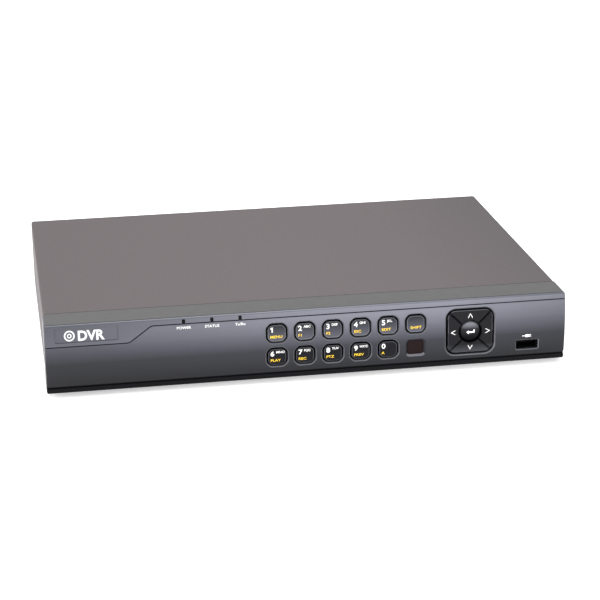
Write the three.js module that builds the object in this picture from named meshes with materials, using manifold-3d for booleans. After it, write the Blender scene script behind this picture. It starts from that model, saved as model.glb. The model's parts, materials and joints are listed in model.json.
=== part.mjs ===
// A compact desktop video recorder: sheet-steel case, moulded front bezel with a keypad,
// main board with its rear connectors, a 3.5-inch hard drive and a side fan.
// Millimetres. +X is to the right seen from the front, +Y runs to the rear, +Z is up.
// The origin is the centre of the footprint, on the plane that the feet stand on.
import * as THREE from "three";
import { mergeVertices } from "three/addons/utils/BufferGeometryUtils.js";
import Module from "manifold-3d";

// ---------------------------------------------------------------- driving dimensions
const WIDTH = 315;
const HEIGHT = 45;
const REAR_TIP_Y = 121; // ends of the video sockets
const GAP = 0.3; // clearance between neighbouring pieces
const SHEET = 1; // steel sheet

// Case, seen from the side
const CASE_BOTTOM = 2.5; // lowest edge of the bezel
const FLOOR_BOTTOM = 3; // underside of the steel floor
const FLOOR_TOP = FLOOR_BOTTOM + SHEET;
const REAR_Y = 101.5; // outer face of the rear panel
const CHASSIS_HALF = 155.2;
const CHASSIS_FRONT_Y = -106.5;
const CHASSIS_WALL_TOP = 38;
const COVER_HALF = 157;
const COVER_BOTTOM = 4.5;
const LIP_BOTTOM = 36.5; // lower edge of the cover's rear lip
const COVER_REAR_Y = REAR_Y + GAP + SHEET;

// Bezel: its front face is one gentle arc in side view
const FACE_RADIUS = 110;
const FACE_Y = -120; // the face's foremost line
const FACE_Z = 24; // height of that line
const WALL = 2;
const SEAM_Y = -96; // where the bezel ends and the cover starts
const LIP_REAR_Y = -107; // rear edge of the bezel's bottom wall
const LOWER_GROOVE_Z = 6.7;

// Keypad
const KEY_COLUMNS = 6;
const KEY_PITCH_X = 16.9;
const KEY_FIRST_X = -20.4;
const ROW_Z = [31.9, 17];
const KEY_HOLE = { width: 12.5, height: 11.7, corner: 2.8 };
const KEY_CLEARANCE = 0.7;
const KEY_PROUD = 0.8; // how far a cap stands out of the face
const KEY_TRAVEL = 0.5;
const PAD = { x: 97.8, z: 24.8, width: 29.7, height: 28.5, radius: 5 };
const PAD_SPLIT = 0.55; // gap between two direction keys
const ENTER_RADIUS = 6;
const ENTER_CLEARANCE = 1;
const ENTER_PROUD = 1; // beyond the face's foremost line
const DOME_RISE = 1.5;
const FLANGE_Y = -116; // front of each key's retaining flange
const FLANGE_THICK = 0.8;
const STEM_END_Y = -113.9;
const PLUNGER_Y = STEM_END_Y + KEY_TRAVEL + 0.2;
const BOARD_THICK = 1.6;
const KEYPAD_BOARD_Y = -109.5; // front of the keypad's board
const IR_WINDOW = { x: 64.1, z: 17, width: 9.4, height: 8.3, radius: 1.6 };
const IR_CHAMFER = 1.4;
const LED_X = [-76.1, -59.3, -42.5];
const LED_Z = 42.6;
const LED_SIZE = { width: 1.6, height: 2.2 };
const FRONT_USB = { x: 133.8, z: 13.5, width: 13.8, height: 6.2 };

// Main board and rear connectors
const MAIN_BOARD = { x0: -100, x1: 150, y0: 22, y1: REAR_Y - 1.8, z: 7.5 };
const BOARD_TOP = MAIN_BOARD.z + BOARD_THICK;
const LOWER_JACK_Z = 14.6;
const UPPER_JACK_Z = 29.3;
const PORT_X = {
  videoIn: [135, 112],
  videoOut: 89,
  audio: 68,
  vga: 40,
  hdmi: 13,
  usb: -8,
  lan: -32,
  serial: -55,
  power: -78,
  powerSwitch: -110,
  ground: -138,
};
const SWITCH_Z = 20;

// Hard drive, in the 3.5-inch form
const DRIVE = { x: -68.5, y: -44.2, z: 6.2, length: 147, width: 101.6, height: 26.1 };
const DRIVE_LID = 1.5;
const SPINDLE_X = -20.5; // from the drive's centre
const PLATTER_RADIUS = 47.5;
const ARM_PIVOT = { x: 38, y: -20 };
const ARM_LENGTH = 52;
const ARM_PARK_DEG = 51; // angle between the parked arm and the line to the spindle
const DRIVE_SCREWS = [-51.5, 56.5].flatMap((x) => [-44.8, 44.8].map((y) => [x, y]));

// Fan, 35 mm
const FAN = { size: 35, depth: 10, x: 143.8, y: -57.5, z: 22.1 };

const FEET = [-135, 135].flatMap((x) => [-90, 80].map((y) => [x, y]));
const COVER_SCREWS_X = [-130, 0, 130];
const COVER_SCREW_Z = 40.4;

// ---------------------------------------------------------------- solids
const wasm = await Module();
wasm.setup();

const AXIS_X = new THREE.Vector3(1, 0, 0);
const AXIS_Y = new THREE.Vector3(0, 1, 0);
const AXIS_Z = new THREE.Vector3(0, 0, 1);
const BIG = 400; // longer than the object, for cutting through it

// A three.js geometry as a manifold-3d solid.
function solid(geometry) {
  const bare = geometry.clone();
  bare.deleteAttribute("normal");
  bare.deleteAttribute("uv");
  const merged = mergeVertices(bare, 1e-4);
  const triVerts = [];
  for (let i = 0; i < merged.index.count; i += 3) {
    const [a, b, c] = [0, 1, 2].map((k) => merged.index.getX(i + k));
    if (a !== b && b !== c && c !== a) triVerts.push(a, b, c);
  }
  return new wasm.Manifold(
    new wasm.Mesh({
      numProp: 3,
      vertProperties: merged.attributes.position.array,
      triVerts: Uint32Array.from(triVerts),
    }),
  );
}

function geometryOf(body) {
  const mesh = body.getMesh();
  const geometry = new THREE.BufferGeometry();
  geometry.setAttribute("position", new THREE.BufferAttribute(mesh.vertProperties, 3));
  geometry.setIndex(new THREE.BufferAttribute(mesh.triVerts, 1));
  geometry.computeVertexNormals();
  return geometry;
}

const union = (...bodies) => bodies.reduce((sum, body) => sum.add(body));
const cut = (body, ...tools) => body.subtract(union(...tools));

function box(x0, x1, y0, y1, z0, z1) {
  const geometry = new THREE.BoxGeometry(x1 - x0, y1 - y0, z1 - z0);
  return solid(geometry.translate((x0 + x1) / 2, (y0 + y1) / 2, (z0 + z1) / 2));
}

function extruded(shape, depth, curveSegments) {
  return new THREE.ExtrudeGeometry(shape, { depth, bevelEnabled: false, curveSegments });
}

// A shape drawn in (y, z), from x0 to x1.
function alongX(shape, x0, x1, curveSegments = 2) {
  const turn = new THREE.Matrix4().makeBasis(AXIS_Y, AXIS_Z, AXIS_X);
  return solid(extruded(shape, x1 - x0, curveSegments).applyMatrix4(turn).translate(x0, 0, 0));
}

// A shape drawn in (x, z), from y0 to y1.
function alongY(shape, y0, y1, curveSegments = 2) {
  const turn = new THREE.Matrix4().makeBasis(AXIS_X, AXIS_Z, AXIS_Y.clone().negate());
  return solid(extruded(shape, y1 - y0, curveSegments).applyMatrix4(turn).translate(0, y1, 0));
}

// A shape drawn in (x, y), from z0 to z1.
function alongZ(shape, z0, z1, curveSegments = 2) {
  return solid(extruded(shape, z1 - z0, curveSegments).translate(0, 0, z0));
}

function rod(axis, radius, from, to, u, v, sides = 12) {
  const geometry = new THREE.CylinderGeometry(radius, radius, to - from, sides);
  const middle = (from + to) / 2;
  if (axis === "x") return solid(geometry.rotateZ(-Math.PI / 2).translate(middle, u, v));
  if (axis === "y") return solid(geometry.translate(u, middle, v));
  return solid(geometry.rotateX(Math.PI / 2).translate(u, v, middle));
}

// A closed profile of [radius, height] points, turned about the z axis.
function turned(points, sides = 16) {
  const area = points.reduce((sum, [r, h], i) => {
    const [nextR, nextH] = points[(i + 1) % points.length];
    return sum + r * nextH - nextR * h;
  }, 0);
  const ordered = area > 0 ? points : points.slice().reverse();
  const profile = ordered.concat([ordered[0]]).map(([r, h]) => new THREE.Vector2(r, h));
  return solid(new THREE.LatheGeometry(profile, sides).rotateX(Math.PI / 2));
}

function polygon(points) {
  return new THREE.Shape(points.map(([u, v]) => new THREE.Vector2(u, v)));
}

function roundedRect(width, height, radius, u = 0, v = 0) {
  const [left, right] = [u - width / 2 + radius, u + width / 2 - radius];
  const [low, high] = [v - height / 2 + radius, v + height / 2 - radius];
  const shape = new THREE.Shape();
  shape.absarc(right, low, radius, -Math.PI / 2, 0);
  shape.absarc(right, high, radius, 0, Math.PI / 2);
  shape.absarc(left, high, radius, Math.PI / 2, Math.PI);
  shape.absarc(left, low, radius, Math.PI, 1.5 * Math.PI);
  return shape;
}

// A strip of even thickness along a smooth line through the given points.
function band(points, thickness, steps = 20) {
  const curve = new THREE.SplineCurve(points.map(([u, v]) => new THREE.Vector2(u, v)));
  const sides = [[], []];
  for (let i = 0; i <= steps; i++) {
    const at = curve.getPoint(i / steps);
    const along = curve.getTangent(i / steps);
    const across = new THREE.Vector2(-along.y, along.x).multiplyScalar(thickness / 2);
    sides[0].push(at.clone().sub(across));
    sides[1].push(at.clone().add(across));
  }
  return new THREE.Shape(sides[0].concat(sides[1].reverse()));
}

// ---------------------------------------------------------------- finishes
function finish(color, roughness, metalness = 0) {
  return new THREE.MeshStandardMaterial({ color, roughness, metalness });
}
const BEZEL_PLASTIC = finish(0x5f6068, 0.4);
const KEY_PLASTIC = finish(0x3a3a3f, 0.35);
const PAINTED_STEEL = finish(0x7f7a7d, 0.6, 0.2);
const BARE_STEEL = finish(0xb9bcc0, 0.4, 0.9);
const NICKEL = finish(0xc9cace, 0.25, 1);
const BLACK_PLASTIC = finish(0x17181a, 0.5);
const RUBBER = finish(0x1b1b1c, 0.9);
const IR_PLASTIC = finish(0x3a2124, 0.15);
const CLEAR_PLASTIC = finish(0xdfe3e6, 0.2);
const CIRCUIT_BOARD = finish(0x1f4d34, 0.5);
const ALUMINIUM = finish(0xa9adb2, 0.4, 0.9);
const CAST_ALUMINIUM = finish(0x8d9095, 0.55, 0.8);
const MIRROR_DISC = finish(0xd5d7da, 0.08, 1);
const RED_CABLE = finish(0xa02a25, 0.5);
const WHITE_PLASTIC = finish(0xe4e2dc, 0.5);
const GREEN_PLASTIC = finish(0x2f7a4c, 0.5);

const recorder = new THREE.Group();
function add(name, body, material, group = recorder, at = [0, 0, 0]) {
  const mesh = new THREE.Mesh(geometryOf(body), material);
  mesh.name = name;
  mesh.position.set(...at);
  group.add(mesh);
  return mesh;
}

// ---------------------------------------------------------------- front bezel
// Where the front face lies at height z; inset moves it inwards.
function faceY(z, inset = 0) {
  return FACE_Y + FACE_RADIUS - Math.sqrt((FACE_RADIUS - inset) ** 2 - (z - FACE_Z) ** 2);
}

// The face's arc as a list of [y, z] from one height to another.
function faceArc(zFrom, zTo, inset = 0, steps = 9) {
  return Array.from({ length: steps + 1 }, (_, i) => {
    const z = zFrom + ((zTo - zFrom) * i) / steps;
    return [faceY(z, inset), z];
  });
}

// The outer outline from the top strip's rear edge, over the front, to the bottom's front.
function bezelOutline() {
  const topEdge = faceY(HEIGHT - 1);
  const grooveTop = LOWER_GROOVE_Z + 0.35;
  const grooveLow = LOWER_GROOVE_Z - 0.35;
  return [
    [SEAM_Y, HEIGHT],
    [topEdge + 1.5, HEIGHT],
    [topEdge + 0.35, HEIGHT - 0.35],
    ...faceArc(HEIGHT - 1, grooveTop),
    [FACE_Y + 1.3, grooveTop],
    [FACE_Y + 1.3, grooveLow],
    [FACE_Y + 0.6, grooveLow],
    [FACE_Y + 1.2, CASE_BOTTOM + 1.2],
    [FACE_Y + 2.6, CASE_BOTTOM],
  ];
}

// A block with its front face on the bezel's arc, moved forwards by proud.
function behindFace(proud, rearY, x0, x1) {
  const front = faceArc(CASE_BOTTOM, HEIGHT, -proud);
  return alongX(polygon([...front, [rearY, HEIGHT], [rearY, CASE_BOTTOM]].reverse()), x0, x1);
}

function grooveLine() {
  const [low, high, half] = [32, 41.2, 0.3];
  const line = [[-BIG, low], [-109.5, low], [-95, high], [BIG, high]];
  const upper = line.map(([x, z]) => [x, z + half]);
  return polygon([...line.map(([x, z]) => [x, z - half]), ...upper.reverse()]);
}

// A four-sided funnel round an opening, widening towards the front by flare on every side.
function funnel(x, z, width, height, flare) {
  const [outer, inner] = [width / 2 + flare, width / 2].map((half) => half * Math.SQRT2);
  const cone = new THREE.CylinderGeometry(inner, outer, flare, 4, 1);
  cone.rotateY(Math.PI / 4).scale(1, 1, (height + flare) / (width + flare));
  return solid(cone.translate(x, faceY(z) + flare / 2 - 0.02, z));
}

function frontBezel() {
  const half = WIDTH / 2;
  const outline = bezelOutline();
  const inner = faceArc(CASE_BOTTOM + WALL, HEIGHT - WALL, WALL);
  const section = polygon([
    ...outline,
    [LIP_REAR_Y, CASE_BOTTOM],
    [LIP_REAR_Y, CASE_BOTTOM + WALL],
    ...inner,
    [SEAM_Y, HEIGHT - WALL],
  ]);
  const side = polygon([...outline, [SEAM_Y, CASE_BOTTOM]]);
  const shell = union(
    alongX(section, -half, half),
    alongX(side, -half, -half + WALL),
    alongX(side, half - WALL, half),
  );
  const bossY = KEYPAD_BOARD_Y - GAP;
  const bosses = [[-75, 14], [-34, 36], [77.3, 12], [120.8, 36]].map(([x, z]) =>
    rod("y", 2.4, FACE_Y + 1.9, bossY, x, z, 12).intersect(behindFace(-1, bossY, x - 3, x + 3)),
  );
  const keyHoles = ROW_Z.flatMap((z) =>
    Array.from({ length: KEY_COLUMNS }, (_, i) => KEY_FIRST_X + i * KEY_PITCH_X)
      .filter((x) => !isWindowPlace(x, z))
      .map((x) => alongY(keyOutline(x, z), -BIG, -111)),
  );
  const { x, z, width, height, radius } = IR_WINDOW;
  const irHole = alongY(roundedRect(width + 0.6, height + 0.6, radius, x, z), -BIG, -111);
  const irFunnel = funnel(x, z, width + 0.6, height + 0.6, IR_CHAMFER);
  const padHole = alongY(roundedRect(PAD.width, PAD.height, PAD.radius, PAD.x, PAD.z), -BIG, -111);
  const usb = FRONT_USB;
  const usbHole = alongY(roundedRect(usb.width, usb.height, 0.6, usb.x, usb.z), -BIG, -111, 1);
  const ledPockets = LED_X.map((at) => {
    const halfHole = LED_SIZE.width / 2 + GAP;
    return box(at - halfHole, at + halfHole, -BIG, -112, LED_Z - 1.4, LED_Z + 1.4);
  });
  const groove = alongY(grooveLine(), -BIG, BIG).subtract(behindFace(-0.5, BIG, -BIG, BIG));
  const logoPocket = box(-151.5, -114.2, -BIG, -116.5, 34.4, 43);
  return cut(
    union(shell, ...bosses),
    ...keyHoles,
    irHole,
    irFunnel,
    padHole,
    usbHole,
    ...ledPockets,
    groove,
    logoPocket.subtract(behindFace(-0.4, BIG, -BIG, BIG)),
  );
}

// ---------------------------------------------------------------- keys
// The last place in the lower row holds the infrared window, not a key.
function isWindowPlace(x, z) {
  return Math.abs(x - IR_WINDOW.x) < 1 && z === ROW_Z[1];
}

// A rectangle with cut corners; shrink moves every edge inwards.
function keyOutline(x, z, shrink = 0) {
  const [u, v] = [KEY_HOLE.width / 2 - shrink, KEY_HOLE.height / 2 - shrink];
  const cutLength = KEY_HOLE.corner - shrink * (2 - Math.SQRT2);
  const corners = [[1, -1], [1, 1], [-1, 1], [-1, -1]];
  return polygon(
    corners.flatMap(([su, sv]) => {
      const onSide = [x + su * u, z + sv * (v - cutLength)];
      const onEnd = [x + su * (u - cutLength), z + sv * v];
      return su * sv < 0 ? [onEnd, onSide] : [onSide, onEnd];
    }),
  );
}

// One cap with its retaining flange and the stem that presses the switch, at x = 0.
function numberKey(z) {
  const half = KEY_HOLE.width / 2;
  const cap = alongY(keyOutline(0, z, KEY_CLEARANCE), -BIG, FLANGE_Y + FLANGE_THICK);
  const flange = alongY(keyOutline(0, z, -0.8), FLANGE_Y, FLANGE_Y + FLANGE_THICK);
  const stem = rod("y", 1.5, FLANGE_Y, STEM_END_Y, 0, z, 10);
  return union(cap.intersect(behindFace(KEY_PROUD, 0, -half, half)), flange, stem);
}

// A direction key: one quarter of the pad, around the enter key. turn is 0 for up,
// then 1, 2 and 3 for right, down and left.
function directionKey(turn) {
  const { x, z, width, height, radius } = PAD;
  const slack = 2 * KEY_CLEARANCE;
  const outline = roundedRect(width - slack, height - slack, radius - KEY_CLEARANCE, x, z);
  const rim = roundedRect(width + 2, height + 2, radius + 1, x, z);
  const rearY = FLANGE_Y + FLANGE_THICK;
  const cap = alongY(outline, -BIG, FLANGE_Y).intersect(behindFace(KEY_PROUD, 0, x - 20, x + 20));
  const inside = alongY(roundedRect(width - 4, height - 4, radius - 2, x, z), -BIG, BIG);
  const flange = alongY(rim, FLANGE_Y, rearY).subtract(inside);
  const link = alongY(outline, FLANGE_Y - 1, rearY).subtract(inside);
  // A wedge that opens at the pad's centre, towards the key's own side.
  const [reach, offset] = [40, PAD_SPLIT / Math.SQRT2];
  const side = [[0, offset], [reach, reach + offset], [-reach, reach + offset]];
  const angle = (-turn * Math.PI) / 2;
  const wedge = side.map(([u, v]) => {
    const pu = (u * Math.cos(angle) - v * Math.sin(angle)) * (turn % 2 ? 1 : width / height);
    const pv = u * Math.sin(angle) + v * Math.cos(angle);
    return [x + pu, z + pv * (turn % 2 ? height / width : 1)];
  });
  const sector = alongY(polygon(wedge.reverse()), -BIG, BIG);
  const hole = rod("y", ENTER_RADIUS + ENTER_CLEARANCE, -BIG, 0, x, z, 24);
  const stemAt = [x + 10.7 * Math.sin(-angle), z + 10 * Math.cos(angle)];
  const stem = rod("y", 1.5, FLANGE_Y - 1, STEM_END_Y, ...stemAt, 10);
  return union(union(cap, flange, link).intersect(sector).subtract(hole), stem);
}

// The round enter key, turned about its own axis with the dome on top.
function enterKey() {
  const frontY = FACE_Y - ENTER_PROUD;
  const depth = STEM_END_Y - frontY;
  const flange = depth - (-114.6 - frontY);
  const dome = [];
  for (let i = 0; i <= 5; i++) {
    const angle = (Math.PI / 2) * (1 - i / 5);
    dome.push([ENTER_RADIUS * Math.cos(angle), depth - DOME_RISE * (1 - Math.sin(angle))]);
  }
  return turned([
    ...dome,
    [ENTER_RADIUS, flange],
    [7.5, flange],
    [7.5, flange - 0.5],
    [1.5, flange - 0.5],
    [1.5, 0],
    [0, 0],
  ]);
}

function irWindow() {
  const { x, z, width, height, radius } = IR_WINDOW;
  const pane = alongY(roundedRect(width, height, radius, x, z), -BIG, -116);
  const flange = alongY(roundedRect(width + 2, height + 2, radius + 1, x, z), -116.9, -115.6);
  return union(pane.intersect(behindFace(-1.3, 0, x - 10, x + 10)), flange);
}

// Three light tips on one bar that reaches back to the lamps on the keypad's board.
function lightGuide() {
  const { width, height } = LED_SIZE;
  const tips = LED_X.map((at) => {
    const tip = box(at - width / 2, at + width / 2, -BIG, -112.5, LED_Z - 1.1, LED_Z + 1.1);
    return tip.intersect(behindFace(-0.2, 0, at - 5, at + 5));
  });
  const legs = LED_X.map((at) => box(at - 0.8, at + 0.8, -114, -112.5, 38.5, LED_Z + height / 2));
  const ends = LED_X.map((at) => box(at - 0.8, at + 0.8, -114, -110.8, 38.5, 40.2));
  const bar = box(LED_X[0] - 3, LED_X[2] + 3, -114, -112.5, 38.5, 40.2);
  return union(...tips, ...legs, ...ends, bar);
}

// The board behind the bezel, with a switch behind each key, the lamps and the receiver.
function keypadBoard() {
  const frontY = KEYPAD_BOARD_Y;
  const plate = box(-86, 152, frontY, frontY + BOARD_THICK, 7, 41);
  const keys = ROW_Z.flatMap((z) =>
    Array.from({ length: KEY_COLUMNS }, (_, i) => [KEY_FIRST_X + i * KEY_PITCH_X, z]),
  ).filter(([x, z]) => !isWindowPlace(x, z));
  const aroundPad = [[0, 10], [10.7, 0], [0, -10], [-10.7, 0], [0, 0]];
  const pad = aroundPad.map(([u, v]) => [PAD.x + u, PAD.z + v]);
  const switches = [...keys, ...pad].flatMap(([x, z]) => [
    box(x - 2.6, x + 2.6, PLUNGER_Y + 0.6, frontY, z - 2.6, z + 2.6),
    rod("y", 1.6, PLUNGER_Y, PLUNGER_Y + 1, x, z, 8),
  ]);
  const lamps = LED_X.map((x) => box(x - 1, x + 1, -110.4, frontY, 38.4, 40.4));
  const receiver = box(IR_WINDOW.x - 3, IR_WINDOW.x + 3, -114.8, frontY, 14, 20);
  const { x, z, width, height } = FRONT_USB;
  const usbCut = box(x - width / 2, x + width / 2, -BIG, BIG, z - height / 2, z + height / 2);
  return union(plate, ...switches, ...lamps, receiver).subtract(usbCut);
}

// A metal socket shell with its contact tongue, open towards -y with its mouth at y = 0.
function socketShell(width, height, length, tongueHeight) {
  const wall = 0.5;
  const outer = alongY(roundedRect(width, height, 0.5), 0, length, 1);
  const [w, h] = [width / 2 - wall, height / 2 - wall];
  const hollow = outer.subtract(box(-w, w, -1, length - 1.2, -h, h));
  const [low, high] = [tongueHeight - 0.6, tongueHeight + 0.6];
  return hollow.add(box(-w + 1, w - 1, 1.5, length - 1, low, high));
}

// ---------------------------------------------------------------- sheet-steel case
function drivePads() {
  return DRIVE_SCREWS.map(([x, y]) =>
    rod("z", 6, FLOOR_BOTTOM, DRIVE.z, DRIVE.x + x, DRIVE.y + y, 12),
  );
}

function baseChassis() {
  const half = CHASSIS_HALF;
  const [front, wallTop] = [CHASSIS_FRONT_Y, CHASSIS_WALL_TOP];
  const tray = cut(
    box(-half, half, front, REAR_Y, FLOOR_BOTTOM, wallTop),
    box(-half + SHEET, half - SHEET, front + SHEET, REAR_Y - SHEET, FLOOR_TOP, BIG),
  );
  const rear = box(-half, half, REAR_Y - SHEET, REAR_Y, FLOOR_BOTTOM, HEIGHT - SHEET - 0.5);
  const { x0, x1, y0, y1, z: boardZ } = MAIN_BOARD;
  const standoffs = [x0 + 6, 25, x1 - 6].flatMap((x) =>
    [y0 + 7, y1 - 12].map((y) => rod("z", 3.2, FLOOR_BOTTOM, boardZ, x, y, 8)),
  );
  const footHoles = FEET.map(([x, y]) => rod("z", 2.4, 0, BIG, x, y, 8));
  const screwHoles = DRIVE_SCREWS.flatMap(([x, y]) => [
    rod("z", 2, 0, 10, DRIVE.x + x, DRIVE.y + y, 8),
    rod("z", 3.9, 0, 5, DRIVE.x + x, DRIVE.y + y, 12),
  ]);
  const coverHoles = COVER_SCREWS_X.map((x) => rod("y", 1.8, REAR_Y - 4, BIG, x, COVER_SCREW_Z, 8));
  const ribbonSlot = box(68, 88, front - 1, front + 2, 12, 24);
  return cut(
    union(tray, rear, ...standoffs, ...drivePads()),
    ...footHoles,
    ...screwHoles,
    ...coverHoles,
    ribbonSlot,
    ...rearOpenings(),
    ...fanSlots(half - 2, half + 1),
  );
}

// Slots through the right-hand side, in front of the fan.
function fanSlots(x0, x1) {
  const count = 7;
  return Array.from({ length: count }, (_, i) => {
    const y = FAN.y + (i - (count - 1) / 2) * 4.4;
    const reach = Math.sqrt(15 ** 2 - (y - FAN.y) ** 2);
    return box(x0, x1, y - 1.1, y + 1.1, FAN.z - reach, FAN.z + reach);
  });
}

function rearOpenings() {
  const [y0, y1] = [REAR_Y - 3, REAR_Y + 1];
  const round = (x, z, radius) => rod("y", radius, y0, y1, x, z, 14);
  const rect = (x, z, width, height) =>
    box(x - width / 2, x + width / 2, y0, y1, z - height / 2, z + height / 2);
  const vents = Array.from({ length: 12 }, (_, i) => rect(-52 + i * 9, 30, 2.4, 8));
  return [
    ...PORT_X.videoIn.flatMap((x) => [LOWER_JACK_Z, UPPER_JACK_Z].map((z) => round(x, z, 6.5))),
    round(PORT_X.videoOut, LOWER_JACK_Z, 6.5),
    round(PORT_X.audio, LOWER_JACK_Z, 4.6),
    round(PORT_X.audio, UPPER_JACK_Z, 4.6),
    rect(PORT_X.vga, 15.4, 17.4, 9),
    ...[-12.5, 12.5].map((dx) => round(PORT_X.vga + dx, 15.4, 3)),
    rect(PORT_X.hdmi, 12.4, 15.6, 6.2),
    rect(PORT_X.usb, 12.6, 14, 6.6),
    rect(PORT_X.lan, 15.8, 16.8, 13.6),
    rect(PORT_X.serial, 13.6, 11.6, 9.2),
    round(PORT_X.power, 15, 5),
    rect(PORT_X.powerSwitch, SWITCH_Z, 13.6, 19.6),
    round(PORT_X.ground, 14, 2),
    ...vents,
  ];
}

// The cover: one sheet bent over both sides, with a lip at the rear and a tongue in front.
function topCover() {
  const bend = 1.5;
  const half = COVER_HALF;
  const frontY = SEAM_Y + GAP;
  const outer = new THREE.Shape();
  outer.moveTo(half, COVER_BOTTOM);
  outer.lineTo(half, HEIGHT - bend);
  outer.absarc(half - bend, HEIGHT - bend, bend, 0, Math.PI / 2);
  outer.absarc(-half + bend, HEIGHT - bend, bend, Math.PI / 2, Math.PI);
  outer.lineTo(-half, COVER_BOTTOM);
  const inside = half - SHEET;
  const inner = box(-inside, inside, frontY - 1, REAR_Y + GAP, 0, HEIGHT - SHEET);
  const below = box(-inside, inside, REAR_Y, BIG, 0, LIP_BOTTOM);
  const sheet = cut(alongY(outer, frontY, COVER_REAR_Y), inner, below);
  const tongueTop = HEIGHT - WALL - 0.4;
  const tongue = box(-150, 150, frontY - 6, frontY + SHEET, tongueTop - SHEET, tongueTop);
  const joggle = box(-150, 150, frontY, frontY + SHEET, tongueTop - SHEET, HEIGHT - 0.5);
  const holes = COVER_SCREWS_X.map((x) => rod("y", 1.8, REAR_Y - 4, BIG, x, COVER_SCREW_Z, 8));
  return cut(union(sheet, tongue, joggle), ...holes, ...fanSlots(half - 2, half + 1));
}

// A pan-head screw pointing along +z, with its head's underside at z = 0.
function screw(headRadius, headHeight, shankRadius, length) {
  const body = turned(
    [
      [0, -headHeight],
      [headRadius * 0.7, -headHeight],
      [headRadius, -headHeight * 0.4],
      [headRadius, 0],
      [shankRadius, 0],
      [shankRadius, length],
      [0, length],
    ],
    10,
  );
  const slot = headHeight * 0.5;
  const arm = headRadius * 0.5;
  return cut(
    body,
    box(-arm, arm, -0.35, 0.35, -headHeight - 1, -headHeight + slot),
    box(-0.35, 0.35, -arm, arm, -headHeight - 1, -headHeight + slot),
  );
}

function rubberFoot() {
  return turned([[0, 0], [6.6, 0], [7.2, 0.6], [7.5, 3], [2, 3], [2, 4.6], [1.2, 5.6], [0, 5.6]]);
}

// ---------------------------------------------------------------- main board
function mainBoard() {
  const { x0, x1, y0, y1, z } = MAIN_BOARD;
  const plate = box(x0, x1, y0, y1, z, BOARD_TOP);
  const processor = box(-24, 8, 46, 78, BOARD_TOP, BOARD_TOP + 1.5);
  const memory = [-46, 30].map((x) => box(x - 6, x + 6, 52, 66, BOARD_TOP, BOARD_TOP + 1.2));
  const codec = box(92, 112, 50, 70, BOARD_TOP, BOARD_TOP + 1.4);
  const dataSocket = box(24, 36, 28, 34, BOARD_TOP, BOARD_TOP + 5);
  const powerSocket = box(46, 60, 28, 35, BOARD_TOP, BOARD_TOP + 6);
  const ribbonSocket = box(68, 88, 25, 30, BOARD_TOP, BOARD_TOP + 4);
  const inductor = box(-72, -60, 60, 72, BOARD_TOP, BOARD_TOP + 5);
  const capacitors = [[-88, 62], [-88, 74], [-74, 82], [120, 40]].map(([x, y]) =>
    rod("z", 4, BOARD_TOP, BOARD_TOP + 11, x, y, 12),
  );
  return union(
    plate,
    processor,
    ...memory,
    codec,
    dataSocket,
    powerSocket,
    ribbonSocket,
    inductor,
    ...capacitors,
  );
}

// Ten fins on a base that sits on the processor.
function heatsink() {
  const [x0, x1, y0, y1] = [-26, 10, 44, 80];
  const base = BOARD_TOP + 1.5 + GAP;
  const fins = 10;
  const pitch = (x1 - x0 - 1.4) / (fins - 1);
  const plates = Array.from({ length: fins }, (_, i) =>
    box(x0 + i * pitch, x0 + i * pitch + 1.4, y0, y1, base, base + 14),
  );
  return union(box(x0, x1, y0, y1, base, base + 2.5), ...plates);
}

function backupBattery() {
  const cell = rod("z", 10, 1.2, 4.6, 0, 0, 20);
  return union(cell, box(-11.5, 11.5, -5, 5, 0, 3.4));
}

// ---------------------------------------------------------------- rear connectors
// One socket of the video kind, its barrel pointing to the rear from the panel.
function videoSocket(x, z) {
  const body = [
    [0, REAR_Y - 1.6],
    [6.2, REAR_Y - 1.6],
    [6.2, REAR_Y + 3],
    [4.85, REAR_Y + 3],
    [4.85, REAR_TIP_Y],
    [4.1, REAR_TIP_Y],
    [4.1, REAR_TIP_Y - 11],
    [2.4, REAR_TIP_Y - 11],
    [2.4, REAR_TIP_Y - 3],
    [1, REAR_TIP_Y - 3],
    [1, REAR_TIP_Y - 9],
    [0, REAR_TIP_Y - 9],
  ];
  const turn = new THREE.Matrix4().makeBasis(AXIS_X, AXIS_Z.clone().negate(), AXIS_Y);
  const barrel = geometryOf(turned(body, 14)).applyMatrix4(turn).translate(x, 0, z);
  const lug = rod("x", 0.95, x - 5.9, x - 4.4, REAR_TIP_Y - 4, z, 8);
  const otherLug = rod("x", 0.95, x + 4.4, x + 5.9, REAR_TIP_Y - 4, z, 8);
  return union(solid(barrel), lug, otherLug);
}

function videoBlock() {
  const housing = box(-7.2, 7.2, REAR_Y - 19, REAR_Y - 1.5, BOARD_TOP, 36.4);
  return union(housing, videoSocket(0, LOWER_JACK_Z), videoSocket(0, UPPER_JACK_Z));
}

function videoOut() {
  const housing = box(-7.2, 7.2, REAR_Y - 19, REAR_Y - 1.5, BOARD_TOP, 22);
  return union(housing, videoSocket(0, LOWER_JACK_Z));
}

function audioJacks() {
  const housing = box(-5, 5, REAR_Y - 17, REAR_Y - 1.5, BOARD_TOP, 35);
  const jacks = [LOWER_JACK_Z, UPPER_JACK_Z].map((z) =>
    rod("y", 4.15, REAR_Y - 2, REAR_Y + 9, 0, z, 20).subtract(
      rod("y", 1.6, REAR_Y, BIG, 0, z, 10),
    ),
  );
  return union(housing, ...jacks);
}

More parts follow.
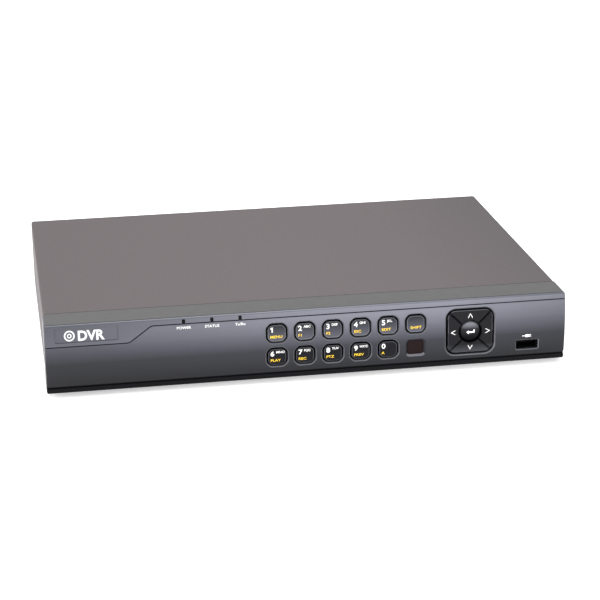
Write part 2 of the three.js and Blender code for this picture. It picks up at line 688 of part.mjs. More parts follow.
function vgaPort() {
  const z = 15.4;
  const flange = box(-15.4, 15.4, REAR_Y - 2.3, REAR_Y - 1.3, BOARD_TOP, z + 6.2);
  const housing = box(-15, 15, REAR_Y - 13, REAR_Y - 2, BOARD_TOP, z + 5);
  const shellShape = (grow) =>
    polygon([
      [-8.1 - grow, z + 3.9 + grow],
      [-7 - grow, z - 3.9 - grow],
      [7 + grow, z - 3.9 - grow],
      [8.1 + grow, z + 3.9 + grow],
    ]);
  const shell = cut(
    alongY(shellShape(0), REAR_Y - 2, REAR_Y + 5),
    alongY(shellShape(-0.6), REAR_Y + 1.5, REAR_Y + 6),
  );
  const nuts = [-12.5, 12.5].map((x) => rod("y", 2.6, REAR_Y - 2, REAR_Y + 4, x, z, 6));
  return union(flange, housing, shell, ...nuts);
}

// A socket shell that opens towards the rear, just outside the panel.
function rearShell(width, height, length, z, tongueHeight) {
  const shell = geometryOf(socketShell(width, height, length, tongueHeight));
  return solid(shell.rotateZ(Math.PI).translate(0, REAR_Y + 0.8, z));
}

function lanPort() {
  const body = box(-8, 8, REAR_Y - 21, REAR_Y + 1, BOARD_TOP, 22.3);
  const mouth = box(-5.95, 5.95, REAR_Y - 11, REAR_Y + 2, 11, 19.4);
  const latch = box(-3, 3, REAR_Y - 6, REAR_Y + 2, 10, 11.5);
  return cut(body, mouth, latch);
}

function serialTerminal() {
  const body = box(-5.4, 5.4, REAR_Y - 11, REAR_Y + 2.5, BOARD_TOP + 0.2, 17.8);
  const wireHoles = [-2.5, 2.5].map((x) => rod("y", 1.2, REAR_Y - 4, BIG, x, 11.6, 10));
  const buttons = [-2.5, 2.5].map((x) => box(x - 1.5, x + 1.5, REAR_Y + 1, BIG, 14, 16.6));
  return cut(body, ...wireHoles, ...buttons);
}

function powerJack() {
  const housing = box(-4.6, 4.6, REAR_Y - 13, REAR_Y - 1.5, BOARD_TOP, 20.2);
  const nose = rod("y", 4.5, REAR_Y - 3, REAR_Y + 1.4, 0, 15, 20);
  const hole = rod("y", 3.1, REAR_Y - 9, BIG, 0, 15, 16);
  return union(cut(union(housing, nose), hole), rod("y", 1, REAR_Y - 10, REAR_Y - 0.6, 0, 15, 10));
}

function switchBody() {
  const flange = box(-7.6, 7.6, REAR_Y + GAP, REAR_Y + 2, -10.6, 10.6);
  const inside = box(-6.5, 6.5, REAR_Y - 14, REAR_Y + 1, -9.5, 9.5);
  const well = box(-4.9, 4.9, REAR_Y - 9, REAR_Y + 3, -7.9, 7.9);
  const tabs = [-3, 3].map((x) => box(x - 1, x + 1, REAR_Y - 20, REAR_Y - 13, -0.4, 0.4));
  return union(cut(union(flange, inside), well), ...tabs);
}

// The rocker about its pivot; its two outer faces meet at a shallow angle.
function powerRocker() {
  const outline = polygon([
    [-3.4, -6.4],
    [3.2, -7.2],
    [1.6, 0],
    [3.2, 7.2],
    [-3.4, 6.4],
    [-4.6, 2],
    [-4.6, -2],
  ]);
  return alongX(outline, -4.5, 4.5);
}

// ---------------------------------------------------------------- hard drive
const DRIVE_HALF = { x: DRIVE.length / 2, y: DRIVE.width / 2 };
const CASE_TOP = DRIVE.height - DRIVE_LID;

function driveCase() {
  const { x: hx, y: hy } = DRIVE_HALF;
  const block = alongZ(roundedRect(2 * hx, 2 * hy, 3), 0, CASE_TOP, 1);
  const discPocket = rod("z", PLATTER_RADIUS + 2.4, 5.8, BIG, SPINDLE_X, 0, 28);
  const armPocket = box(12, 61, -46, 33, 5.8, BIG);
  const boardPocket = box(-44, 71, -38, 38, -1, 2.2);
  const plugNotch = box(62, BIG, -16, 30, -1, 5.6);
  const screwHoles = DRIVE_SCREWS.map(([x, y]) => rod("z", 2, -1, 5, x, y, 12));
  const spindle = rod("z", 4, 5.7, 16.5, SPINDLE_X, 0, 16);
  const pivot = rod("z", 2.5, 5.7, 18.5, ARM_PIVOT.x, ARM_PIVOT.y, 12);
  const opened = cut(block, discPocket, armPocket, boardPocket, plugNotch, ...screwHoles);
  return union(opened, spindle, pivot);
}

function driveLid() {
  const { x: hx, y: hy } = DRIVE_HALF;
  const plate = alongZ(roundedRect(2 * hx, 2 * hy, 3), CASE_TOP, DRIVE.height, 1);
  const dish = rod("z", 30, DRIVE.height - 0.5, BIG, SPINDLE_X, 0, 24);
  return cut(plate, dish);
}

// The hub and two discs in one piece, turned about the spindle.
function drivePlatters() {
  const [hub, disc] = [15, PLATTER_RADIUS];
  return turned(
    [
      [0, 17],
      [4.4, 17],
      [4.4, 6.4],
      [hub, 6.4],
      [hub, 9],
      [disc, 9],
      [disc, 10.3],
      [hub, 10.3],
      [hub, 15],
      [disc, 15],
      [disc, 16.3],
      [hub, 16.3],
      [hub, 19.6],
      [0, 19.6],
    ],
    28,
  );
}

// The head arm about its pivot, pointing along +x: a barrel, two arms and the coil's tail.
function driveArm() {
  const arm = polygon([[0, -7], [0, 7], [ARM_LENGTH, 1.6], [ARM_LENGTH, -1.6]].reverse());
  const levels = [[11.6, 13.2], [17.6, 19.2]].map(([z0, z1]) => alongZ(arm, z0, z1));
  const tail = alongZ(polygon([[2, -6], [-18, -11], [-18, 11], [2, 6]].reverse()), 11.6, 14.6);
  const barrel = rod("z", 7.5, 6.6, 20.4, 0, 0, 16);
  return cut(union(barrel, ...levels, tail), rod("z", 2.9, 0, BIG, 0, 0, 14));
}

function driveBoard() {
  const plate = box(-43.6, 70.6, -37.6, 37.6, 0.3, 1.9);
  const plug = box(62.4, 73.2, -15.5, 29.5, 0.3, 5.2);
  return union(plate, plug);
}

// ---------------------------------------------------------------- cables
// The ribbon stands across the board and curves down from the keypad to its socket.
function keypadRibbon() {
  const path = [
    [-107.5, 18],
    [-100, 18],
    [-85, 12],
    [-55, 6.4],
    [-10, 6.2],
    [10, 9],
    [18, 17],
    [27, 15],
  ];
  const ribbon = alongX(band(path, 0.8, 26), 70, 86);
  return ribbon.add(box(69, 87, 26, 29.5, BOARD_TOP + 4 + GAP, BOARD_TOP + 7));
}

function dataCable() {
  const startX = DRIVE.x + DRIVE_HALF.x + GAP;
  const path = [[startX + 7, -34], [21, -30], [24, -12], [24, 12], [28, 24], [30, 31]];
  const strip = alongZ(band(path, 1.6, 20), 15, 22);
  const plug = box(startX, startX + 8, -42, -27, 7, 14);
  const riser = box(startX + 4, startX + 8, -37, -30.5, 12, 22);
  const boardPlug = box(25, 35, 28.6, 33.4, BOARD_TOP + 5 + GAP, 22);
  return union(strip, plug, riser, boardPlug);
}

function powerCable() {
  const startX = DRIVE.x + DRIVE_HALF.x + GAP;
  const points = [
    [startX + 6, -55, 10],
    [20, -54, 11],
    [33, -44, 14],
    [50, -20, 16],
    [55, 10, 16],
    [53, 31, 18],
  ];
  const curve = new THREE.CatmullRomCurve3(points.map((at) => new THREE.Vector3(...at)));
  const circle = new THREE.Shape().absarc(0, 0, 2.4, 0, 2 * Math.PI);
  const path = { extrudePath: curve, steps: 14, curveSegments: 3, bevelEnabled: false };
  const bundle = solid(new THREE.ExtrudeGeometry(circle, path));
  const plug = box(startX, startX + 8, -70, -46, 7, 13.5);
  const boardPlug = box(47, 59, 28.6, 34.4, BOARD_TOP + 6 + GAP, 21);
  return union(bundle, plug, boardPlug);
}

// ---------------------------------------------------------------- fan
function fanFrame() {
  const { size, depth } = FAN;
  const half = size / 2;
  const plate = box(0, depth, -half, half, -half, half);
  const bore = rod("x", 16.2, -1, depth + 1, 0, 0, 28);
  const screws = [-14.5, 14.5].flatMap((u) =>
    [-14.5, 14.5].map((v) => rod("x", 1.6, -1, depth + 1, u, v, 8)),
  );
  const boss = rod("x", 8, depth - 1.6, depth, 0, 0, 18);
  const struts = [0, 1, 2].map((i) => {
    const strut = new THREE.BoxGeometry(1.6, 10.5, 2).translate(depth - 0.8, 12, 0);
    return solid(strut.rotateX((i * 2 * Math.PI) / 3));
  });
  const seat = rod("x", 1.5, depth - 3, depth - 0.4, 0, 0, 12);
  return union(cut(plate, bore, ...screws), cut(boss, seat), ...struts);
}

function fanRotor() {
  const hub = union(rod("x", 8, 1.2, 7.6, 0, 0, 18), rod("x", 1.2, 7, 9.2, 0, 0, 12));
  const blades = Array.from({ length: 7 }, (_, i) => {
    const blade = new THREE.BoxGeometry(7, 8.4, 1).rotateY(0.7).translate(4.4, 11.3, 0);
    return solid(blade.rotateX((i * 2 * Math.PI) / 7));
  });
  return union(hub, ...blades);
}

// ---------------------------------------------------------------- assembly
function addCase() {
  add("front_bezel", frontBezel(), BEZEL_PLASTIC);
  add("base_chassis", baseChassis(), BARE_STEEL);
  add("top_cover", topCover(), PAINTED_STEEL);
  const foot = rubberFoot();
  const footNames = ["front_left", "rear_left", "front_right", "rear_right"];
  FEET.forEach(([x, y], i) => add(`foot_${footNames[i]}`, foot, RUBBER, recorder, [x, y, 0]));
  const coverScrew = screw(2.9, 1.9, 1.5, 5);
  COVER_SCREWS_X.forEach((x, i) => {
    const name = `cover_screw_${["right", "middle", "left"][i]}`;
    const at = [x, COVER_REAR_Y + 0.05, COVER_SCREW_Z];
    add(name, coverScrew, BARE_STEEL, recorder, at).rotation.x = Math.PI / 2;
  });
}

function addKeypad() {
  const keyRows = ROW_Z.map(numberKey);
  const names = [["1", "2", "3", "4", "5", "shift"], ["6", "7", "8", "9", "0"]];
  names.forEach((row, r) =>
    row.forEach((label, i) => {
      const at = [KEY_FIRST_X + i * KEY_PITCH_X, 0, 0];
      add(`key_${label}`, keyRows[r], KEY_PLASTIC, recorder, at);
    }),
  );
  ["up", "right", "down", "left"].forEach((way, turn) =>
    add(`key_${way}`, directionKey(turn), KEY_PLASTIC),
  );
  const enter = add("key_enter", enterKey(), KEY_PLASTIC);
  enter.position.set(PAD.x, STEM_END_Y, PAD.z);
  enter.rotation.x = Math.PI / 2;
  add("ir_window", irWindow(), IR_PLASTIC);
  add("led_light_guide", lightGuide(), CLEAR_PLASTIC);
  add("keypad_board", keypadBoard(), CIRCUIT_BOARD);
  const usb = socketShell(13.1, 5.6, 9.4, 1);
  add("front_usb_port", usb, NICKEL, recorder, [FRONT_USB.x, -116.5, FRONT_USB.z]);
}

function addMainBoard() {
  add("main_board", mainBoard(), CIRCUIT_BOARD);
  add("processor_heatsink", heatsink(), ALUMINIUM);
  add("backup_battery", backupBattery(), NICKEL, recorder, [-84, 40, BOARD_TOP]);
  const block = videoBlock();
  const [firstX, secondX] = PORT_X.videoIn;
  add("video_in_1_2", block, NICKEL, recorder, [firstX, 0, 0]);
  add("video_in_3_4", block, NICKEL, recorder, [secondX, 0, 0]);
  const ports = [
    ["video_out", videoOut, NICKEL, "videoOut"],
    ["audio_jacks", audioJacks, WHITE_PLASTIC, "audio"],
    ["vga_port", vgaPort, NICKEL, "vga"],
    ["hdmi_port", () => rearShell(15, 5.6, 11.5, 12.4, 0), NICKEL, "hdmi"],
    ["rear_usb_port", () => rearShell(13.1, 5.6, 13, 12.6, 1), NICKEL, "usb"],
    ["lan_port", lanPort, NICKEL, "lan"],
    ["serial_terminal", serialTerminal, GREEN_PLASTIC, "serial"],
    ["power_jack", powerJack, BLACK_PLASTIC, "power"],
  ];
  ports.forEach(([name, make, material, key]) =>
    add(name, make(), material, recorder, [PORT_X[key], 0, 0]),
  );
  const switchAt = [PORT_X.powerSwitch, 0, SWITCH_Z];
  add("power_switch_body", switchBody(), BLACK_PLASTIC, recorder, switchAt);
  const rocker = add("power_rocker", powerRocker(), BLACK_PLASTIC);
  rocker.position.set(PORT_X.powerSwitch, REAR_Y - 0.4, SWITCH_Z);
  rocker.rotation.x = THREE.MathUtils.degToRad(-9);
  const ground = add("ground_screw", screw(3.6, 2.4, 1.7, 6), BARE_STEEL);
  ground.position.set(PORT_X.ground, REAR_Y + 0.05, 14);
  ground.rotation.x = Math.PI / 2;
}

function addDrive() {
  const drive = new THREE.Group();
  drive.position.set(DRIVE.x, DRIVE.y, DRIVE.z);
  recorder.add(drive);
  add("drive_case", driveCase(), CAST_ALUMINIUM, drive);
  add("drive_lid", driveLid(), ALUMINIUM, drive);
  add("drive_platters", drivePlatters(), MIRROR_DISC, drive, [SPINDLE_X, 0, 0]);
  const arm = add("drive_arm", driveArm(), ALUMINIUM, drive, [ARM_PIVOT.x, ARM_PIVOT.y, 0]);
  const toSpindle = Math.atan2(-ARM_PIVOT.y, SPINDLE_X - ARM_PIVOT.x);
  arm.rotation.z = toSpindle - THREE.MathUtils.degToRad(ARM_PARK_DEG);
  add("drive_board", driveBoard(), CIRCUIT_BOARD, drive);
  const driveScrew = screw(3.4, 1.7, 1.65, 5.2);
  DRIVE_SCREWS.forEach(([x, y], i) =>
    add(`drive_screw_${i + 1}`, driveScrew, BARE_STEEL, drive, [x, y, 5 - DRIVE.z - 0.05]),
  );
  add("drive_data_cable", dataCable(), RED_CABLE);
  add("drive_power_cable", powerCable(), BLACK_PLASTIC);
  add("keypad_ribbon", keypadRibbon(), WHITE_PLASTIC);
}

function addFan() {
  const fan = new THREE.Group();
  fan.position.set(FAN.x, FAN.y, FAN.z);
  recorder.add(fan);
  add("fan_frame", fanFrame(), BLACK_PLASTIC, fan);
  add("fan_rotor", fanRotor(), BLACK_PLASTIC, fan);
}

addCase();
addKeypad();
addMainBoard();
addDrive();
addFan();

export default recorder;
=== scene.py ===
"""Looks of the compact desktop video recorder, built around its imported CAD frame.

Shapes are worked out in millimetres in the row frame and stored in metres. +X is to the right
seen from the front, +Y runs to the rear and +Z is up; z = 0 is the plane the feet stand on.
"""

import json
import math
import random

import bmesh
import bpy
from mathutils import Matrix, Vector


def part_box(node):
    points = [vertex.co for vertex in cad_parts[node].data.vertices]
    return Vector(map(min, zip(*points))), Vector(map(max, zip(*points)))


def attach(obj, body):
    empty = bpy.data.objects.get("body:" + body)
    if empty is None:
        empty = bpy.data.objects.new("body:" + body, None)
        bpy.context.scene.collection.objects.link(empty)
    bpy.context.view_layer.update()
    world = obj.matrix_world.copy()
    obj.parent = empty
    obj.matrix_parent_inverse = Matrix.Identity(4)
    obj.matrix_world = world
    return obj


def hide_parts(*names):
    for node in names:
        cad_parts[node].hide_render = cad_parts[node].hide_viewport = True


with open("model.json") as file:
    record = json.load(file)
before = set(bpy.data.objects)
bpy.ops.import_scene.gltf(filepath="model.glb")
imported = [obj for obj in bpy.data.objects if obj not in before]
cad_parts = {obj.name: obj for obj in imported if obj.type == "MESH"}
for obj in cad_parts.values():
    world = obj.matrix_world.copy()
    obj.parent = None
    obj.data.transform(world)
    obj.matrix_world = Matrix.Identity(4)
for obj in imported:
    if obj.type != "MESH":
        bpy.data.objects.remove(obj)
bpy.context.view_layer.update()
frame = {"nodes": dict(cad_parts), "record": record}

MM = 0.001
RECORD = frame["record"]
SLOT_OF = {entry["node"]: entry["material_slot"] for entry in RECORD["subparts"]}
BODY_OF = {
    node: body for body, nodes in RECORD["behaviour"]["bodies"].items() for node in nodes
}


# ------------------------------------------------------------------ places from the frame
def box_mm(node):
    """Lowest and highest corner of a CAD node, in millimetres."""
    low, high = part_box(node)
    return low / MM, high / MM


def centre_mm(node):
    low, high = box_mm(node)
    return (low + high) / 2


BEZEL_LOW, BEZEL_HIGH = box_mm("front_bezel")
FACE_RADIUS = 110.0  # the front face is one gentle arc in side view
FACE_Z = BEZEL_LOW.z + 21.5  # height of its foremost line
BEZEL_WALL = 2.0
BEZEL_REAR_Y = -111.0  # openings in the face are cut back to here
CROWN_RADIUS = 1.6  # the rounded edge between the face and the strip on top
LOWER_GROOVE_Z = BEZEL_LOW.z + 4.0
BAND_LOW_Z = BEZEL_LOW.z + 29.5  # the line under the upper band, left of its step
BAND_HIGH_Z = BEZEL_LOW.z + 38.75  # and right of it
LOGO_PLATE = (37.0, 8.5, BEZEL_LOW.x + 24.7, BEZEL_LOW.z + 36.2)  # width, height, x, z
LOGO_DEPTH = 0.45
KEY_HOLE = (12.5, 11.7, 2.5, 2.9)  # width, height, cut at the corners, radius of their bends
KEY_SLACK = 0.85
KEY_PROUD = 0.8
KEY_EDGE = 0.75
STEM_RADIUS = 1.4
PAD_SIZE = (29.6, 28.4, 5.8)  # width, height, corner radius
PAD_SPLIT = 0.45
PAD_REACH = (10.7, 10.0)  # from the pad's centre to a direction key's stem, across and up
ENTER_RADIUS = 6.0
ENTER_SLACK = 1.1
FLANGE_Y = -115.2  # rear face of the keys' flanges
PLUNGER_FRONT = box_mm("key_1")[1].y + 0.75
PANEL_Y = box_mm("base_chassis")[1].y  # outer face of the rear panel
BOARD_TOP = box_mm("main_board")[0].z + 1.6
JACK_Z = (14.6, 29.3)  # centres of the lower and the upper round sockets
VGA_Z = 15.4
VGA_NUT_X = (-12.5, 12.5)
POWER_Z = 15.0
COVER_SCREWS = ["cover_screw_right", "cover_screw_middle", "cover_screw_left"]
DRIVE_SCREWS = ["drive_screw_%d" % i for i in range(1, 5)]
FEET = ["foot_front_left", "foot_front_right", "foot_rear_left", "foot_rear_right"]


def face_y(z):
    """Where the bezel's front face lies at height z."""
    return BEZEL_LOW.y + FACE_RADIUS - math.sqrt(FACE_RADIUS**2 - (z - FACE_Z) ** 2)


# ------------------------------------------------------------------ outlines, as lists of (u, v)
def arc(u, v, radius, start, end, steps):
    """Points on a circle about (u, v) from one angle to another, in degrees."""
    angles = [math.radians(start + (end - start) * i / steps) for i in range(steps + 1)]
    return [(u + radius * math.cos(a), v + radius * math.sin(a)) for a in angles]


def circle(u, v, radius, steps=32):
    return arc(u, v, radius, 0, 360, steps)[:-1]


def rounded(width, height, radius, u=0.0, v=0.0, steps=6):
    """A rounded rectangle about (u, v), counter-clockwise."""
    right, top = width / 2 - radius, height / 2 - radius
    corners = []
    for quarter, (x, y) in enumerate(((right, -top), (right, top), (-right, top), (-right, -top))):
        corners += arc(u + x, v + y, radius, 90 * quarter - 90, 90 * quarter, steps)
    return corners


def rounded_corners(outline, radius, steps=5):
    """A counter-clockwise polygon with rounded corners."""
    result = []
    for i, corner in enumerate(outline):
        corner = Vector(corner)
        before = (Vector(outline[i - 1]) - corner).normalized()
        after = (Vector(outline[(i + 1) % len(outline)]) - corner).normalized()
        half = math.acos(max(-1, min(1, before.dot(after)))) / 2
        middle = corner + (before + after).normalized() * (radius / math.sin(half))
        spoke = corner + before * (radius / math.tan(half)) - middle
        start = math.degrees(math.atan2(spoke.y, spoke.x))
        result += arc(*middle, radius, start, start + 180 - math.degrees(2 * half), steps)
    return result


def key_outline(x, z):
    """A key's opening: a rectangle with cut and softened corners."""
    width, height, cut, radius = KEY_HOLE
    right, top = width / 2, height / 2
    corners = []
    for u, v, first in ((1, -1, 0), (1, 1, 1), (-1, 1, 0), (-1, -1, 1)):
        pair = [(x + u * (right - cut), z + v * top), (x + u * right, z + v * (top - cut))]
        corners += pair[::-1] if first else pair
    return rounded_corners(corners, radius, 4)


def grown(outline, by):
    """A counter-clockwise outline moved outwards by a small distance."""
    result = []
    for i, (u, v) in enumerate(outline):
        before = Vector((u, v)) - Vector(outline[i - 1])
        after = Vector(outline[(i + 1) % len(outline)]) - Vector((u, v))
        normals = [Vector((e.y, -e.x)).normalized() for e in (before, after)]
        mitre = (normals[0] + normals[1]) / max(0.4, 1 + normals[0].dot(normals[1]))
        result.append((u + mitre.x * by, v + mitre.y * by))
    return result


# ------------------------------------------------------------------ shapes, as (points, faces)
def loft(rings):
    """A closed skin through rings with the same number of points."""
    count = len(rings[0])
    points = [tuple(p) for ring in rings for p in ring]
    faces = []
    for low in range(0, len(points) - count, count):
        for i in range(count):
            j = (i + 1) % count
            faces.append((low + i, low + j, low + count + j, low + count + i))
    faces.append(tuple(range(count)))
    faces.append(tuple(range(len(points) - count, len(points))))
    return points, faces


def together(*shapes):
    points, faces = [], []
    for more_points, more_faces in shapes:
        start = len(points)
        points += more_points
        faces += [tuple(start + i for i in face) for face in more_faces]
    return points, faces


def turned_about(shape, axis, degrees, x, y, z):
    """A shape turned about its own origin, then moved to a place."""
    place = Matrix.Translation((x, y, z)) @ Matrix.Rotation(math.radians(degrees), 4, axis)
    return [tuple(place @ Vector(p)) for p in shape[0]], shape[1]


PLANES = {
    "x": lambda u, v, w: (w, u, v),
    "y": lambda u, v, w: (u, w, v),
    "z": lambda u, v, w: (u, v, w),
}


def slab(axis, outline, low, high, edge=0.15, steps=2):
    """An outline drawn across an axis, from low to high, with rounded rims."""
    at = PLANES[axis]
    turns = [math.radians(90 * turn / steps) for turn in range(steps + 1)]
    rings = [(grown(outline, edge * (math.sin(a) - 1)), edge * (1 - math.cos(a))) for a in turns]
    lower = [[at(u, v, low + rise) for u, v in ring] for ring, rise in rings]
    upper = [[at(u, v, high - rise) for u, v in ring] for ring, rise in reversed(rings)]
    return loft(lower + upper)


def prism(axis, outline, low, high):
    """An outline drawn across an axis, from low to high, with sharp rims."""
    return slab(axis, outline, low, high, 0, 1)


def brick(axis, x, y, low, high, edge, corner):
    """A box about an axis: x and y are its extents across, low and high along it."""
    width, height = x[1] - x[0], y[1] - y[0]
    corner = min(corner, 0.45 * width, 0.45 * height)
    outline = rounded(width, height, corner, sum(x) / 2, sum(y) / 2, 3)
    return slab(axis, outline, low, high, min(edge, 0.6 * corner))


def block(x0, x1, y0, y1, z0, z1, edge=0.15, corner=0.3):
    """A box with rounded corners in plan and rounded rims."""
    return brick("z", (x0, x1), (y0, y1), z0, z1, edge, corner)


def bar(x, half, y0, y1, z0, z1, edge=0.2, corner=0.4):
    """A box of a half width about x, whose rounded rims lie at its front and rear."""
    return brick("y", (x - half, x + half), (z0, z1), y0, y1, edge, corner)


def filled(node, edge=0.2, corner=0.4, lift=0.1, rear=None):
    """A node's CAD box as a bar, lifted at the bottom and if wanted shorter at the rear."""
    low, high = box_mm(node)
    return bar((low.x + high.x) / 2, (high.x - low.x) / 2, low.y, rear or high.y,
               low.z + lift, high.z, edge, corner)


def turned(profile, axis, u, v, sides=32):
    """A profile of (radius, along) points turned about an axis through (u, v)."""
    at = PLANES[axis]
    return loft([
        [at(x, y, along) for x, y in circle(u, v, max(radius, 0.001), sides)]
        for radius, along in profile
    ])


def rod(axis, radius, low, high, u, v, sides=24, edge=0.1):
    """A round bar with a small chamfer at both ends."""
    profile = [(0, low), (radius - edge, low), (radius, low + edge),
               (radius, high - edge), (radius - edge, high), (0, high)]
    return turned(profile, axis, u, v, sides)


def through(points, steps=8):
    """A smooth path through points, with more points between them."""
    points = [Vector(p) for p in points]
    ends = [points[0] * 2 - points[1]] + points + [points[-1] * 2 - points[-2]]
    path = []
    for a, b, c, d in zip(ends, ends[1:], ends[2:], ends[3:]):
        for i in range(steps):
            t = i / steps
            path.append(0.5 * (2 * b + (c - a) * t + (2 * a - 5 * b + 4 * c - d) * t * t
                               + (3 * b - a - 3 * c + d) * t**3))
    return path + [points[-1]]


def sweep(path, outline):
    """An outline of (side, up) points carried along a path."""
    rings = []
    for i, point in enumerate(path):
        along = (path[min(i + 1, len(path) - 1)] - path[max(i - 1, 0)]).normalized()
        side = along.cross(Vector((0, 0, 1))).normalized()
        lift = side.cross(along)
        rings.append([point + side * u + lift * v for u, v in outline])
    return loft(rings)


# ------------------------------------------------------------------ objects
def shown(name, data):
    """A new object in the scene."""
    thing = bpy.data.objects.new(name, data)
    bpy.context.scene.collection.objects.link(thing)
    return thing


def new_object(name, shape, *materials, marks=(), merge=1e-7):
    """A shape as an object; marks are the faces' material numbers, when there are several."""
    mesh = bpy.data.meshes.new(name)
    mesh.from_pydata([Vector(p) * MM for p in shape[0]], [], shape[1])
    for polygon, mark in zip(mesh.polygons, marks):
        polygon.material_index = mark
    work = bmesh.new()
    work.from_mesh(mesh)
    bmesh.ops.remove_doubles(work, verts=work.verts, dist=merge)
    bmesh.ops.recalc_face_normals(work, faces=work.faces)
    work.to_mesh(mesh)
    work.free()
    for material in materials:
        mesh.materials.append(MATERIALS[material])
    return shown(name, mesh)


def combine(thing, operation, material, *shapes):
    """Joins shapes to an object, or cuts them out; new faces take the material."""
    helpers = [new_object("helper", shape, material) for shape in shapes]
    for helper in helpers:
        modifier = thing.modifiers.new("combine", "BOOLEAN")
        modifier.operation = {"join": "UNION", "cut": "DIFFERENCE"}[operation]
        modifier.solver = "MANIFOLD"
        modifier.material_mode = "TRANSFER"
        modifier.object = helper
    view = bpy.context.evaluated_depsgraph_get()
    view.update()
    solid = bpy.data.meshes.new_from_object(thing.evaluated_get(view), depsgraph=view)
    thing.modifiers.clear()
    thing.data = solid
    for helper in helpers:
        bpy.data.objects.remove(helper)


def dress(thing, node, smooth=32):
    """Shades an object that stands in for a CAD node and lets it ride on the node's body."""
    thing.data.shade_smooth()
    thing.data.set_sharp_from_angle(angle=math.radians(smooth))
    normals = thing.modifiers.new("normals", "WEIGHTED_NORMAL")
    normals.keep_sharp = True
    normals.weight = 100
    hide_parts(node)
    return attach(thing, BODY_OF[node])


def paint_faces(thing, material, chosen):
    """Gives another material to the faces whose centre, in millimetres, passes a test."""
    mesh = thing.data
    if MATERIALS[material].name not in mesh.materials:
        mesh.materials.append(MATERIALS[material])
    index = mesh.materials.find(MATERIALS[material].name)
    for polygon in mesh.polygons:
        if chosen(polygon.center / MM):
            polygon.material_index = index


def piece(node, material, shape, *steps, smooth=32):
    """Builds one node's piece: a shape, then steps of (join or cut, material, shapes...)."""
    thing = new_object("fine_" + node, shape, material)
    for step in steps:
        combine(thing, *step)
    return dress(thing, node, smooth)


# ------------------------------------------------------------------ materials
def srgb(red, green, blue):
    """A colour given as 0 to 255, in linear light."""
    def linear(value):
        value /= 255
        return value / 12.92 if value <= 0.04045 else ((value + 0.055) / 1.055) ** 2.4
    return (linear(red), linear(green), linear(blue), 1.0)


def scale(color, by):
    return tuple(c * by for c in color[:3]) + (1.0,)


class Finish:
    """One node-based material: a base colour varied by noise, with its own roughness and bump."""

    def __init__(self, name, color, rough, metal=0.0, vary=0.012, vary_size=90):
        self.material = bpy.data.materials.new(name)
        self.material.use_nodes = True
        self.nodes = self.material.node_tree.nodes
        self.links = self.material.node_tree.links
        self.shader = next(n for n in self.nodes if n.type == "BSDF_PRINCIPLED")
        self.shader.inputs["Metallic"].default_value = metal
        self.place = self.nodes.new("ShaderNodeTexCoord").outputs["Object"]
        self.bump = None
        self.color = self.mix(self.ramp(self.noise(vary_size, 3), 0.35, 0.65),
                              scale(color, 1 - vary), scale(color, 1 + vary))
        self.set_roughness(rough, rough * 0.05, 160)

    def noise(self, size, detail=2.0, stretch=(1, 1, 1)):
        mapping = self.nodes.new("ShaderNodeMapping")
        mapping.inputs["Scale"].default_value = stretch
        self.links.new(self.place, mapping.inputs["Vector"])
        noise = self.nodes.new("ShaderNodeTexNoise")
        noise.inputs["Scale"].default_value = size
        noise.inputs["Detail"].default_value = detail
        self.links.new(mapping.outputs["Vector"], noise.inputs["Vector"])
        return noise.outputs["Fac"]

    def ramp(self, value, low, high, from_value=0.0, to_value=1.0):
        step = self.nodes.new("ShaderNodeMapRange")
        limits = {"From Min": low, "From Max": high, "To Min": from_value, "To Max": to_value}
        for socket, limit in limits.items():
            step.inputs[socket].default_value = limit
        self.links.new(value, step.inputs["Value"])
        return step.outputs["Result"]

    def mix(self, factor, first, second, blend="MIX"):
        node = self.nodes.new("ShaderNodeMix")
        node.data_type = "RGBA"
        node.blend_type = blend
        self.links.new(factor, node.inputs[0])
        for value, socket in ((first, node.inputs[6]), (second, node.inputs[7])):
            if isinstance(value, bpy.types.NodeSocket):
                self.links.new(value, socket)
            else:
                socket.default_value = value
        return node.outputs[2]

    def flecks(self, color, size, low=0.62, high=0.7):
        """Fine grains of another colour."""
        self.color = self.mix(self.ramp(self.noise(size, 1.0), low, high), self.color, color)
        return self

    def shade_by(self, axis, low, high, color, blend="MIX"):
        """Blends to another colour from one place to another along an axis, in millimetres."""
        split = self.nodes.new("ShaderNodeSeparateXYZ")
        self.links.new(self.place, split.inputs["Vector"])
        factor = self.ramp(split.outputs[axis], low * MM, high * MM)
        self.color = self.mix(factor, self.color, color, blend)
        return self

    def heights(self, *steps):
        """Paints light and shade by height: each step is where it starts, where it ends and the
        colour there.
        """
        for start, end, *color in steps:
            self.shade_by("Z", start, end, srgb(*color))
        return self

    def dim_ends(self, left, right):
        """Paints shade towards both ends of the recorder; left and right are the remaining shares.
        """
        for share, start, end in ((left, 0, -145), (right, 85, 157)):
            self.shade_by("X", start, end, (share, share, share, 1), "MULTIPLY")
        return self

    def set_roughness(self, rough, spread, size, stretch=(1, 1, 1)):
        value = self.ramp(self.noise(size, 3.0, stretch), 0.3, 0.7, rough - spread, rough + spread)
        self.links.new(value, self.shader.inputs["Roughness"])
        return self

    def grain(self, size, height_mm, stretch=(1, 1, 1), detail=1.0):
        """Relief from noise: size is in grains per metre."""
        node = self.nodes.new("ShaderNodeBump")
        node.inputs["Strength"].default_value = 1.0
        node.inputs["Distance"].default_value = height_mm * MM
        self.links.new(self.noise(size, detail, stretch), node.inputs["Height"])
        self.bump = node.outputs["Normal"]
        return self

    def option(self, socket, value):
        self.shader.inputs[socket].default_value = value
        return self

    def shine(self, specular=0.5, coat=0.0):
        return self.option("Specular IOR Level", specular).option("Coat Weight", coat)

    def done(self):
        self.links.new(self.color, self.shader.inputs["Base Color"])
        if self.bump:
            self.links.new(self.bump, self.shader.inputs["Normal"])
        return self.material


